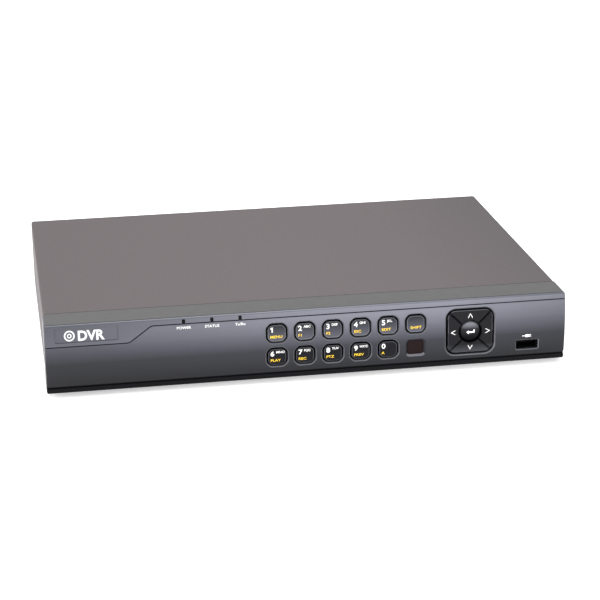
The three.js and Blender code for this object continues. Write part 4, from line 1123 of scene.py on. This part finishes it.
def build_chassis():
    low, high = box_mm("base_chassis")
    wall_top, floor_top = 38.0, low.z + 1
    outer = block(low.x, high.x, low.y, high.y, low.z, wall_top + 3, 0.9, 1.6)
    inner = block(low.x + 1, high.x - 1, low.y + 1, high.y - 1, floor_top, 60, 0.3, 0.3)
    trim = block(low.x - 5, high.x + 5, low.y - 5, high.y - 1, wall_top, 60, 0, 0.1)
    rear = bar((low.x + high.x) / 2, (high.x - low.x) / 2, high.y - 1, high.y,
               wall_top - 6, high.z, 0.12, 0.3)
    board_low, board_high = box_mm("main_board")
    standoffs = [
        rod("z", 3.1, floor_top - 0.5, board_low.z - 0.02, x, y, 6, 0.2)
        for x in (board_low.x + 6, 25, board_high.x - 6)
        for y in (board_low.y + 7, PANEL_Y - 13.8)
    ]
    pad_top = box_mm("drive_case")[0].z - 0.02
    pad = [(0, floor_top - 0.5), (5.9, floor_top - 0.5), (5.9, floor_top), (5.2, pad_top - 0.28),
           (4.9, pad_top), (0, pad_top)]
    screws = [centre_mm(node) for node in DRIVE_SCREWS]
    feet = [centre_mm(node) for node in FEET]
    holes = [rod("z", 2.4, 0, floor_top + 2, at.x, at.y) for at in feet]
    holes += [rod("z", 2, 4, 10, at.x, at.y) for at in screws]
    holes += [rod("z", 3.9, 0, 5, at.x, at.y, 32, 0.3) for at in screws]
    ribbon_slot = block(68, 88, low.y - 1, low.y + 2, 12, 24, 0, 0.3)
    piece(
        "base_chassis", "steel", outer,
        ("cut", "steel", inner, trim),
        ("join", "steel", rear, together(*standoffs, *[turned(pad, "z", at.x, at.y)
                                                       for at in screws])),
        ("cut", "steel", *holes, *screw_holes(COVER_SCREWS, 1.8), ribbon_slot,
         together(*rear_openings()), together(*side_slots(high.x))),
    )


def build_screw(node, axis, outwards, head_height, shank):
    """A pan-head screw with a cross recess; outwards is the sign of its head's direction."""
    low, high = box_mm(node)
    at = centre_mm(node)
    index = "xyz".index(axis)
    u, v = [at[i] for i in range(3) if i != index]
    radius = (high.x - low.x) / 2
    outer, tip = (high[index], low[index]) if outwards > 0 else (low[index], high[index])
    head = [(0, 0), (0.55, 0.08), (0.84, 0.3), (1, 0.62), (1, 1)]
    profile = [(wide * radius, outer - outwards * drop * head_height) for wide, drop in head]
    profile += [(shank, profile[-1][1]), (shank, tip + outwards * 0.6),
                (shank * 0.55, tip), (0, tip)]
    slot, depth = radius * 1.1, head_height * 0.55
    reach = sorted((outer + outwards, outer - outwards * depth))
    cross = [prism(axis, rounded(w, h, 0.15, u, v, 2), *reach)
             for w, h in ((slot, 0.75), (0.75, slot))]
    piece(node, "steel", turned(profile, axis, u, v, 28), ("cut", "steel", *cross))


def build_foot(node):
    at = centre_mm(node)
    profile = [(0, 0), (6.0, 0), (6.5, 0.15), (6.85, 0.5), (7.3, 2.6), (7.1, 2.95), (2.1, 2.95),
               (2.1, 4.5), (2.05, 4.8), (1.9, 5.1), (1.3, 5.55), (0, 5.6)]
    piece(node, "rubber", turned(profile, "z", at.x, at.y, 40))


# ------------------------------------------------------------------ rear sockets
def barrel(x, z, tip):
    """The metal barrel of a round video socket."""
    root = PANEL_Y
    return turned([(0, root - 2.4), (6.2, root - 2.4), (6.2, root + 2.6), (5.8, root + 3),
                   (5.0, root + 3), (5.0, root + 4.5), (4.55, root + 4.9), (4.55, root + 6.0),
                   (4.85, root + 6.3), (4.85, tip - 0.4), (4.5, tip), (0, tip)], "y", x, z, 40)


def build_video(node, heights):
    low, high = box_mm(node)
    x, tip = (low.x + high.x) / 2, high.y
    piece(
        node, "black", filled(node, 0.3, 0.6, 0.7, PANEL_Y - 1.5),
        ("join", "nickel", *[barrel(x, z, tip) for z in heights]),
        ("join", "nickel", *[rod("x", 0.9, x - 5.9, x + 5.9, tip - 4, z, 16) for z in heights]),
        # The barrels' insides take the darker nickel: painted shade.
        ("cut", "dark_nickel", *[rod("y", 4.1, tip - 11, tip + 1, x, z, 36) for z in heights]),
        ("join", "white", *[rod("y", 2.4, tip - 12, tip - 3, x, z, 28, 0.2) for z in heights]),
        ("cut", "gold", *[rod("y", 0.85, tip - 9, tip, x, z, 20) for z in heights]),
    )


def build_audio():
    node = "audio_jacks"
    low, high = box_mm(node)
    x, tip = (low.x + high.x) / 2, high.y
    steps = []
    for z, color in zip(JACK_Z, ("white", "red")):
        steps += [
            ("join", "nickel", rod("y", 4.15, PANEL_Y - 2, tip, x, z, 36, 0.3)),
            ("cut", color, rod("y", 3.3, tip - 1.2, tip + 1, x, z, 32)),
            ("cut", "gold", rod("y", 1.6, PANEL_Y, tip + 1, x, z, 24)),
        ]
    piece(node, "black", filled(node, 0.3, 0.6, rear=PANEL_Y - 1.5), *steps)


def build_vga():
    node = "vga_port"
    low, high = box_mm(node)
    x, z, y = (low.x + high.x) / 2, VGA_Z, PANEL_Y

    def shield(grow, y0, y1):
        low_half, high_half, up = 7.0 + grow, 8.1 + grow, 3.9 + grow
        shape = [(x - low_half, z - up), (x + low_half, z - up),
                 (x + high_half, z + up), (x - high_half, z + up)]
        return slab("y", rounded_corners(shape, 1.6), y0, y1, 0.1)

    contacts = [rod("y", 0.42, y + 1.5, y + 6, x + (column - 2) * 2.3 + shift, z + row, 12)
                for row, shift in ((2.0, 0), (0, -1.1), (-2.0, 0)) for column in range(5)]
    nuts = [rod("y", 2.7, y - 2, y + 4, x + u, z, 6, 0.3) for u in VGA_NUT_X]
    threads = [rod("y", 1.3, y, y + 5, x + u, z, 18) for u in VGA_NUT_X]
    flange = bar(x, (high.x - low.x) / 2, y - 2.3, y - 1.3, BOARD_TOP + 0.1, high.z)
    piece(
        node, "black", bar(x, 15, low.y, y - 2, BOARD_TOP + 0.1, z + 5),
        ("join", "nickel", flange, shield(0, y - 2, y + 5), *nuts),
        # The shell's inside and the threads take the darker nickel, and the contact holes near
        # black: painted shade.
        ("cut", "dark_nickel", shield(-0.6, y + 1.0, y + 6), together(*threads)),
        ("join", "blue", shield(-0.9, y + 0.5, y + 4.3)),
        ("cut", "recess", together(*contacts)),
    )


def build_shell(node, tongue, tongue_low, tongue_high, contacts):
    """A sheet-metal socket that opens to the rear, with its tongue and contacts."""
    low, high = box_mm(node)
    x, z = (low.x + high.x) / 2, (low.z + high.z) / 2
    outer_half, wall = (high.x - low.x) / 2, 0.45
    half = outer_half - 1.4
    pitch = 2 * (half - 0.8) / (contacts - 1)
    strips = [bar(x - half + 0.8 + pitch * i, 0.3 * min(1, pitch / 1.5), low.y + 3, high.y - 2.4,
                  z + tongue_low - 0.12, z + tongue_low + 0.3, 0.02, 0.05)
              for i in range(contacts)]
    piece(
        node, "nickel", filled(node, 0.1, 0.7, 0),
        # The shell's inside takes the darker nickel: painted shade.
        ("cut", "dark_nickel", bar(x, outer_half - wall, low.y + 0.8, high.y + 2,
                                   low.z + wall, high.z - wall, 0.1, 0.4)),
        ("join", tongue, bar(x, half, low.y + 0.4, high.y - 1.6,
                             z + tongue_low, z + tongue_high)),
        ("join", "gold", together(*strips)),
    )


def build_lan():
    node = "lan_port"
    low, high = box_mm(node)
    x, y = (low.x + high.x) / 2, high.y
    wires = [bar(x - 3.675 + i * 1.02, 0.225, y - 10.9, y - 2.5, 18.0, 18.35, 0.05, 0.1)
             for i in range(8)]
    piece(
        node, "nickel", filled(node, 0.25),
        ("cut", "chip", bar(x, 5.95, y - 12, y + 2, 11, 19.4, 0.1, 0.3)),
        ("cut", "chip", bar(x, 3, y - 7, y + 2, 10, 12, 0.1, 0.3)),
        ("join", "gold", bar(x, 4.2, y - 12.5, y - 10.7, 17.2, 18.8), *wires),
        ("join", "green", bar(x - 5.3, 1.5, y - 3, y + 0.05, 20.1, 21.5)),
        ("join", "yellow", bar(x + 5.3, 1.5, y - 3, y + 0.05, 20.1, 21.5)),
    )


def build_terminal():
    node = "serial_terminal"
    low, high = box_mm(node)
    x, y = (low.x + high.x) / 2, high.y
    ways = [x - 2.5, x + 2.5]
    piece(
        node, "green", filled(node, 0.3, 0.3),
        ("cut", "nickel", *[rod("y", 1.3, y - 6, y + 1, u, 11.6, 20) for u in ways]),
        # The walls of the wire openings take the darker nickel: painted shade.
        ("cut", "dark_nickel", *[bar(u, 1.6, y - 1.6, y + 1, 13.9, 16.9) for u in ways]),
        ("join", "black", *[bar(u, 1.2, y - 2.2, y - 0.4, 14.3, 16.5) for u in ways]),
        ("cut", "green", block(x - 0.12, x + 0.12, y - 0.8, y + 1, low.z - 1, high.z + 1, 0, 0.05)),
    )


def build_power_jack():
    node = "power_jack"
    at, tip, y, z = centre_mm(node), box_mm(node)[1].y, PANEL_Y, POWER_Z
    piece(
        node, "black", filled(node, 0.3, 0.5, rear=y - 1.5),
        ("join", "black", rod("y", 4.5, y - 3, tip, at.x, z, 36, 0.4)),
        ("cut", "chip", rod("y", 3.1, y - 9, y + 5, at.x, z, 32)),
        ("join", "nickel", rod("y", 1, y - 10, y - 0.6, at.x, z, 20, 0.35)),
    )


def build_switch():
    at = centre_mm("power_switch_body")
    x, y, z = at.x, PANEL_Y, at.z
    piece(
        "power_switch_body", "black", bar(x, 7.6, y + 0.3, y + 2, z - 10.6, z + 10.6, 0.5, 1.2),
        ("join", "black", bar(x, 6.5, y - 14, y + 1, z - 9.5, z + 9.5)),
        ("cut", "chip", bar(x, 4.9, y - 9, y + 4, z - 7.9, z + 7.9, 0.1, 0.3)),
        ("join", "nickel", *[bar(x + u, 1, y - 20, y - 13, z - 0.4, z + 0.4) for u in (-3, 3)]),
    )
    pivot_y, tilt = y - 0.4, -9
    shape = [(-3.4, -6.4), (2.9, -7.3), (3.2, -7.1), (2.0, -2.2), (1.75, 0), (2.0, 2.2),
             (3.2, 7.1), (2.9, 7.3), (-3.4, 6.4), (-4.5, 2), (-4.5, -2)]
    rocker = slab("x", shape, -4.45, 4.45, 0.3)
    piece("power_rocker", "black", turned_about(rocker, "X", tilt, x, pivot_y, z))
    spin = Matrix.Rotation(math.radians(tilt), 2)
    faces = [[spin @ Vector(shape[i]) for i in pair] for pair in ((2, 3), (5, 6))]

    def rocker_y(_, height):
        first, second = faces[0 if height < z else 1]
        share = (height - z - first.y) / (second.y - first.y)
        return pivot_y + first.x + (second.x - first.x) * share

    signs = [(plate_sign(0.7, 2.4, 0.1, x, z + 4.6), "ink_white"),
             (ring_sign(x, z - 4.6, 1.4, 0.85), "ink_white")]
    printed("rocker_marks", signs, rocker_y, "power_rocker", -0.015)


def build_rear_print():
    """Plain figures and port names beside the rear sockets."""
    words = [("1", "video_in_1_2", -8.6, 13.6), ("2", "video_in_1_2", -8.6, 28.3),
             ("3", "video_in_3_4", -8.6, 13.6), ("4", "video_in_3_4", -8.6, 28.3),
             ("OUT", "video_out", 0, 23.2), ("VGA", "vga_port", 0, 22.6),
             ("USB", "rear_usb_port", 0, 18.0), ("LAN", "lan_port", 0, 5.9),
             ("A  B", "serial_terminal", 0, 19.4), ("12V", "power_jack", 0, 21.4)]
    signs = []
    for word, node, shift, z in words:
        x = centre_mm(node).x + shift
        signs.append(facing_rear(lettering(word, 2.0, x, z, 1.1, 0.05, "CENTER"), x))
    ground = centre_mm("ground_screw").x
    signs += [plate_sign(3.0 - i, 0.35, 0.1, ground, 7.8 - 0.8 * i) for i in range(3)]
    signs.append(plate_sign(0.35, 1.6, 0.1, ground, 8.6))
    printed("rear_printing", [(sign, "ink_black") for sign in signs],
            lambda x, z: PANEL_Y, "base_chassis", -0.015)


# ------------------------------------------------------------------ main board
def on_board(places, edge, corner):
    """Boxes on the main board: each place is x0, x1, y0, y1 and the height above the board."""
    return together(*[block(x0, x1, y0, y1, BOARD_TOP - 0.3, BOARD_TOP + rise, edge, corner)
                      for x0, x1, y0, y1, rise in places])


def small_places():
    """Places of the small parts, clear of the large ones and of one another."""
    taken = [(-76, -56, 0, 99), (-58, -30, 26, 74), (-30, 14, 42, 82), (18, 74, 48, 78),
             (88, 116, 46, 74), (112, 128, 34, 46)]
    chance, places = random.Random(5), []
    while len(places) < 70:
        x, y = chance.uniform(-70, 145), chance.uniform(36, 78)
        clear = not any(x0 < x < x1 and y0 < y < y1 for x0, x1, y0, y1 in taken)
        if clear and all(abs(x - u) + abs(y - v) > 4 for u, v in places):
            places.append((x, y))
    return places


def build_main_board():
    low, high = box_mm("main_board")
    top = BOARD_TOP
    chips = on_board([(-24, 8, 46, 78, 1.5), (-52, -40, 52, 66, 1.2), (24, 36, 52, 66, 1.2),
                      (92, 112, 50, 70, 1.4), (60, 70, 64, 74, 1.2), (-44, -34, 30, 38, 1.3)],
                     0.12, 0.3)
    coil = on_board([(-72, -60, 60, 72, 5)], 0.4, 1.2)
    sockets = on_board([(24, 36, 28, 34, 5), (46, 60, 28, 35, 6), (68, 88, 25, 30, 4)], 0.2, 0.4)
    legs = [block(93 + 1.1 * i, 93.45 + 1.1 * i, y, y + 1.6, top - 0.2, top + 0.25, 0.02, 0.05)
            for y in (48.6, 69.9) for i in range(17)]
    cans = [(-88, 62), (-88, 74), (-74, 82), (120, 40)]
    sleeves = [rod("z", 4, top - 0.3, top + 10.4, x, y, 32, 0.4) for x, y in cans]
    lids = [rod("z", 3.5, top + 10.2, top + 10.75, x, y, 28, 0.15) for x, y in cans]
    bits = [block(x - 0.9, x + 0.9, y - 0.5, y + 0.5, top - 0.2, top + 0.6, 0.08, 0.1)
            for x, y in small_places()]
    piece(
        "main_board", "board", block(low.x, high.x, low.y, high.y, low.z, top, 0.08, 1.2),
        ("join", "chip", chips, together(*sleeves), coil),
        ("join", "nickel", together(*legs), together(*lids)),
        ("join", "copper", together(*bits[::2])),
        ("join", "white", sockets, together(*bits[1::2])),
    )


def build_heatsink():
    low, high = box_mm("processor_heatsink")
    fin, count, base = 1.4, 10, 2.5
    pitch = (high.x - low.x - fin) / (count - 1)
    fins = [block(low.x + i * pitch, low.x + i * pitch + fin, low.y, high.y,
                  low.z + base - 1, high.z, 0.3, 0.3) for i in range(count)]
    piece("processor_heatsink", "aluminium",
          block(low.x, high.x, low.y, high.y, low.z, low.z + base, 0.2, 0.4),
          ("join", "aluminium", together(*fins)))


def build_battery():
    node = "backup_battery"
    low, high = box_mm(node)
    at, foot, top = centre_mm(node), low.z + 1.2, high.z
    cell = [(0, foot), (9.4, foot), (10, foot + 0.4), (10, top - 0.5), (9.6, top - 0.1),
            (9.2, top), (0, top)]
    holder = block(low.x, high.x, at.y - 5, at.y + 5, low.z + 0.05, low.z + 3.4, 0.3, 1.0)
    piece(node, "chip", holder, ("join", "nickel", turned(cell, "z", at.x, at.y, 48)))


# ------------------------------------------------------------------ hard drive
def build_drive():
    low, high = box_mm("drive_case")
    x, y, z = (low.x + high.x) / 2, (low.y + high.y) / 2, low.z
    hub = centre_mm("drive_platters")
    pivot = (x + 38, y - 20)
    floor = z + 5.8
    bowl = turned([(0, floor), (49.9, floor), (49.9, 60), (0, 60)], "z", hub.x, hub.y, 72)
    holes = [rod("z", 2, z - 1, z + 5, at.x, at.y, 20)
             for at in (centre_mm(node) for node in DRIVE_SCREWS)]
    side_holes = [rod("y", 1.6, edge - 3, edge + 3, x + u, z + 6.3, 18)
                  for edge in (low.y, high.y) for u in (-45, 0, 56.5)]
    piece(
        "drive_case", "cast",
        slab("z", rounded(high.x - low.x, high.y - low.y, 3, x, y, 6), z, high.z, 0.5),
        ("cut", "cast", bowl,
         block(x + 12, x + 61, y - 46, y + 33, floor, 60, 0.1, 6),
         block(x - 44, x + 71, y - 38, y + 38, z - 1, z + 2.2, 0.1, 2),
         block(x + 62, x + 90, y - 16, y + 30, z - 1, z + 5.6, 0.1, 0.5),
         *holes, *side_holes),
        ("join", "aluminium", rod("z", 4, z + 5.6, z + 16.5, hub.x, hub.y, 32, 0.3),
         rod("z", 2.5, z + 5.6, z + 18.5, *pivot, 28, 0.3)),
    )
    build_drive_lid(x, y, hub, pivot)
    build_platters(z, hub)
    build_arm(z, hub, pivot)
    build_drive_board(x, y, z)


def build_drive_lid(x, y, hub, pivot):
    low, high = box_mm("drive_lid")
    top = high.z
    spots = [(x + u, y + v) for u in (-68, 0, 68) for v in (-45.5, 45.5)] + [pivot]
    head = [(0, top - 0.3), (2.4, top - 0.3), (2.4, top + 0.25), (2.0, top + 0.5), (0, top + 0.5)]
    dish = [(0, top - 0.5), (29.2, top - 0.5), (30, top + 0.3), (30, 60), (0, 60)]
    piece(
        "drive_lid", "aluminium",
        slab("z", rounded(high.x - low.x, high.y - low.y, 3, x, y, 6), low.z, top, 0.25),
        ("cut", "aluminium", turned(dish, "z", hub.x, hub.y, 72)),
        ("join", "steel", together(*[turned(head, "z", u, v, 24) for u, v in spots])),
        # Near-black painted shade in the screw heads' recesses.
        ("cut", "recess", together(*[rod("z", 0.9, top + 0.1, top + 2, u, v, 6, 0.01)
                                     for u, v in spots])),
        ("join", "white", block(x + 16, x + 62, y - 6, y + 40, top - 0.1, top + 0.1, 0.03, 1.5)),
    )


def build_platters(z, hub):
    disc = 47.5
    profile = [(0, z + 17), (4.4, z + 17), (4.4, z + 6.4), (15, z + 6.4)]
    for level in (z + 9.0, z + 15.0):
        profile += [(15, level), (disc - 0.2, level), (disc, level + 0.2),
                    (disc, level + 1.1), (disc - 0.2, level + 1.3), (15, level + 1.3)]
    profile += [(15, z + 19.2), (14.6, z + 19.6), (0, z + 19.6)]
    holes = [rod("z", 1.1, z + 18.2, z + 22, u, v, 16) for u, v in circle(hub.x, hub.y, 9.5, 6)]
    # The clamp's screw holes take near-black painted shade.
    piece("drive_platters", "mirror", turned(profile, "z", hub.x, hub.y, 96),
          ("cut", "recess", *holes))


def build_arm(z, hub, pivot):
    towards = math.degrees(math.atan2(hub.y - pivot[1], hub.x - pivot[0])) - 51
    arm = rounded_corners([(0, -7), (50, -1.7), (52, -1.2), (52, 1.2), (50, 1.7), (0, 7)], 0.4, 2)
    window = rounded_corners([(13, -3.0), (34, -1.3), (34, 1.3), (13, 3.0)], 0.8, 3)
    tail = rounded_corners([(-18, -11), (2, -6), (2, 6), (-18, 11)], 1.5, 4)
    coil = rounded_corners([(-15.5, -7.8), (-8, -5.4), (-8, 5.4), (-15.5, 7.8)], 1.2, 4)

    def turn(shape):
        return turned_about(shape, "Z", towards, *pivot, z)

    piece(
        "drive_arm", "aluminium", turn(rod("z", 7.5, 6.6, 20.4, 0, 0, 40, 0.4)),
        ("join", "aluminium", *[turn(slab("z", arm, level, level + 1.6, 0.2))
                                for level in (11.6, 17.6)],
         turn(slab("z", tail, 11.6, 14.6, 0.2))),
        ("cut", "copper", turn(prism("z", coil, 13.6, 16))),
        ("cut", "aluminium", turn(prism("z", window, 5, 17)), turn(prism("z", window, 17.3, 25)),
         turn(rod("z", 2.9, 0, 30, 0, 0, 28))),
    )


def build_drive_board(x, y, z):
    chip = block(x - 20, x - 6, y - 8, y + 6, z + 1.7, z + 2.15, 0.05, 0.3)
    plug = block(x + 62.4, x + 73.2, y - 15.5, y + 29.5, z + 0.3, z + 5.2, 0.2, 0.4)
    mouths = [block(x + 69, x + 80, y + v0, y + v1, z + 1.4, z + 4.2, 0.05, 0.2)
              for v0, v1 in ((-14, 8), (12, 28))]
    # The plug's mouths take near-black painted shade.
    piece("drive_board", "board",
          block(x - 43.6, x + 70.6, y - 37.6, y + 37.6, z + 0.3, z + 1.9, 0.1, 1.5),
          ("join", "chip", plug, chip), ("cut", "recess", *mouths))


# ------------------------------------------------------------------ cables
def plug_block(x0, x1, y0, y1, z0, z1, corner=0.6):
    return block(x0, x1, y0, y1, z0, z1, 0.3, corner)


def build_cables():
    start = box_mm("drive_case")[1].x + 0.3
    data = [(start + 7, -34, 18.5), (21, -30, 18.5), (24, -12, 18.5), (24, 12, 18.5),
            (28, 24, 18.5), (30, 31, 18.5)]
    piece(
        "drive_data_cable", "red", sweep(through(data), rounded(1.5, 6.8, 0.5, steps=3)),
        ("join", "black", plug_block(start, start + 8, -42, -27, 7, 14),
         plug_block(start + 4, start + 8, -37, -30.5, 12, 22),
         plug_block(25, 35, 28.6, 33.4, BOARD_TOP + 5.3, 22)),
    )
    power = [(start + 6, -55, 10), (20, -54, 11), (33, -44, 14), (50, -20, 16), (55, 10, 16),
             (53, 31, 18)]
    wires = [("join", color, sweep(through(power), circle(u, v, 0.95, 14))) for u, v, color in (
        (-1.1, 0.9, "yellow"), (1.1, 0.9, "black"), (-1.1, -1.1, "red"), (1.1, -1.1, "black"))]
    piece("drive_power_cable", "white", plug_block(start, start + 8, -70, -46, 7, 13.5), *wires,
          ("join", "white", plug_block(47, 59, 28.6, 34.4, BOARD_TOP + 6.3, 21)))
    build_ribbon()


def build_ribbon():
    path = through([(78, -107.5, 18), (78, -100, 18), (78, -85, 12), (78, -55, 6.4),
                    (78, -10, 6.2), (78, 10, 9), (78, 18, 17), (78, 27, 15)], 6)
    for point in path:
        point.z = max(point.z, 6.1)  # the smooth curve would dip into the floor
    half, cores = 7.9, 12
    ridges = [(half - half * i / cores, -0.38 if i % 2 else -0.22) for i in range(2 * cores + 1)]
    section = ridges[::-1] + [(u, -v) for u, v in ridges]
    piece("keypad_ribbon", "grey_ribbon", sweep(path, section),
          ("join", "black", plug_block(69, 87, 26, 29.5, BOARD_TOP + 4.3, BOARD_TOP + 7, 0.4)))


# ------------------------------------------------------------------ fan
def build_fan():
    low, high = box_mm("fan_frame")
    hub = centre_mm("fan_frame")
    x0, x1, y, z = low.x, high.x, hub.y, hub.z
    tunnel = [(0, x0 - 1), (16.9, x0 - 1), (16.9, x0), (16.2, x0 + 1), (16.2, x1 - 1),
              (16.9, x1), (16.9, x1 + 1), (0, x1 + 1)]
    holes = [rod("x", 1.6, x0 - 1, x1 + 1, y + u, z + v, 20)
             for u in (-14.5, 14.5) for v in (-14.5, 14.5)]
    strut = block(-0.8, 0.8, 6.5, 17.0, -1, 1, 0.2, 0.3)
    struts = [turned_about(strut, "X", 120 * i, x1 - 0.8, y, z) for i in range(3)]
    piece(
        "fan_frame", "black", slab("x", rounded(35, 35, 3.2, y, z, 8), x0, x1, 0.3),
        ("cut", "black", turned(tunnel, "x", y, z, 64), *holes),
        ("join", "black", rod("x", 8, x1 - 1.6, x1, y, z, 40, 0.2), *struts),
        ("cut", "black", rod("x", 1.5, x1 - 3, x1 - 0.4, y, z, 20)),
    )
    blades = [turned_about(fan_blade(), "X", 360 / 7 * i, x0 + 4.4, y, z) for i in range(7)]
    piece(
        "fan_rotor", "chip", rod("x", 8, x0 + 1.2, x0 + 7.6, y, z, 48, 0.5),
        ("join", "chip", *blades),
        ("join", "nickel", rod("x", 1.2, x0 + 7, x0 + 9.2, y, z, 20)),
    )


def fan_blade():
    """One curved blade, pointing along +y from the hub's axis."""
    upper = [(u, 0.32 * math.sqrt(1 - u * u) + 0.1) for u in [0.25 * i - 1 for i in range(9)]]
    lower = [(u, v - 0.55 * math.sqrt(1 - u * u) - 0.2) for u, v in reversed(upper)]
    rings = []
    for step in range(6):
        radius, half = 7.2 + 1.6 * step, 3.7 + 0.12 * step
        pitch = math.radians(48 - 3 * step)
        ring = []
        for u, v in upper + lower:
            along, across = u * half, v + 0.7 * (1 - u * u) - 0.35
            swing = (along * math.sin(pitch) + across * math.cos(pitch)) / radius
            ring.append((along * math.cos(pitch) - across * math.sin(pitch),
                         radius * math.cos(swing), radius * math.sin(swing)))
        rings.append(ring)
    return loft(rings)


# ------------------------------------------------------------------ stage, light and camera
def build_stage():
    size = 3.0
    mesh = bpy.data.meshes.new("floor")
    mesh.from_pydata([(-size, -size, 0), (size, -size, 0), (size, size, 0), (-size, size, 0)],
                     [], [(0, 1, 2, 3)])
    floor = shown("floor", mesh)
    paint = Finish("floor_paint", (0.93, 0.93, 0.93, 1), 0.7, 0.0, 0.01)
    paint.option("Emission Color", (1, 1, 1, 1)).option("Emission Strength", 0.45)
    mesh.materials.append(paint.done())


def area_light(name, place, target, size, power, color=(1, 1, 1)):
    light = bpy.data.lights.new(name, "AREA")
    light.shape = "RECTANGLE"
    light.size, light.size_y = size
    light.energy = power
    light.color = color
    thing = shown(name, light)
    thing.location = place
    thing.rotation_euler = (Vector(target) - Vector(place)).to_track_quat("-Z", "Y").to_euler()


def build_light():
    world = bpy.data.worlds.new("studio")
    world.use_nodes = True
    background = world.node_tree.nodes["Background"]
    background.inputs["Color"].default_value = (1.0, 1.0, 1.0, 1)
    background.inputs["Strength"].default_value = 0.95
    bpy.context.scene.world = world
    area_light("overhead", (-0.06, 0.0, 0.8), (-0.03, 0, 0), (0.5, 0.5), 4.2)
    area_light("front_right", (0.14, -0.5, 0.12), (0.06, -0.12, 0.035), (0.3, 0.14), 0.75)
    area_light("left", (-1.1, 0.05, 0.25), (-0.1, 0, 0.02), (0.3, 0.9), 9, (1, 0.95, 0.93))


def build_camera():
    azimuth, elevation, roll = (math.radians(a) for a in (-9.216, 18.777, -0.753))
    target, distance = Vector((14.14, 4.9, 8.82)) * MM, 1.27763
    lens = bpy.data.cameras.new("camera")
    lens.sensor_width = 36
    lens.lens = 115.956
    lens.clip_start, lens.clip_end = 0.05, 20
    camera = shown("camera", lens)
    camera.matrix_world = (
        Matrix.Translation(target)
        @ Matrix.Rotation(azimuth, 4, "Z")
        @ Matrix.Rotation(math.pi / 2 - elevation, 4, "X")
        @ Matrix.Rotation(roll, 4, "Z")
        @ Matrix.Translation((0, 0, distance))
    )
    bpy.context.scene.camera = camera
    bpy.context.scene.view_settings.view_transform = "Standard"


build_bezel()
for key_name in KEY_NAMES:
    build_key(key_name)
for key_turn, key_name in enumerate(("up", "right", "down", "left")):
    build_direction_key(key_name, key_turn)
build_enter_key()
build_front_details()
build_front_port()
build_keypad_board()
build_cover()
build_chassis()
for screw_node in COVER_SCREWS:
    build_screw(screw_node, "y", 1, 1.9, 1.5)
build_screw("ground_screw", "y", 1, 2.4, 1.7)
for screw_node in DRIVE_SCREWS:
    build_screw(screw_node, "z", -1, 1.7, 1.65)
for foot_node in FEET:
    build_foot(foot_node)
build_video("video_in_1_2", JACK_Z)
build_video("video_in_3_4", JACK_Z)
build_video("video_out", JACK_Z[:1])
build_audio()
build_vga()
build_shell("hdmi_port", "black", -0.3, 0.7, 9)
build_shell("rear_usb_port", "white", -0.1, 1.7, 4)
build_lan()
build_terminal()
build_power_jack()
build_switch()
build_rear_print()
build_main_board()
build_heatsink()
build_battery()
build_drive()
build_cables()
build_fan()
build_stage()
build_light()
build_camera()
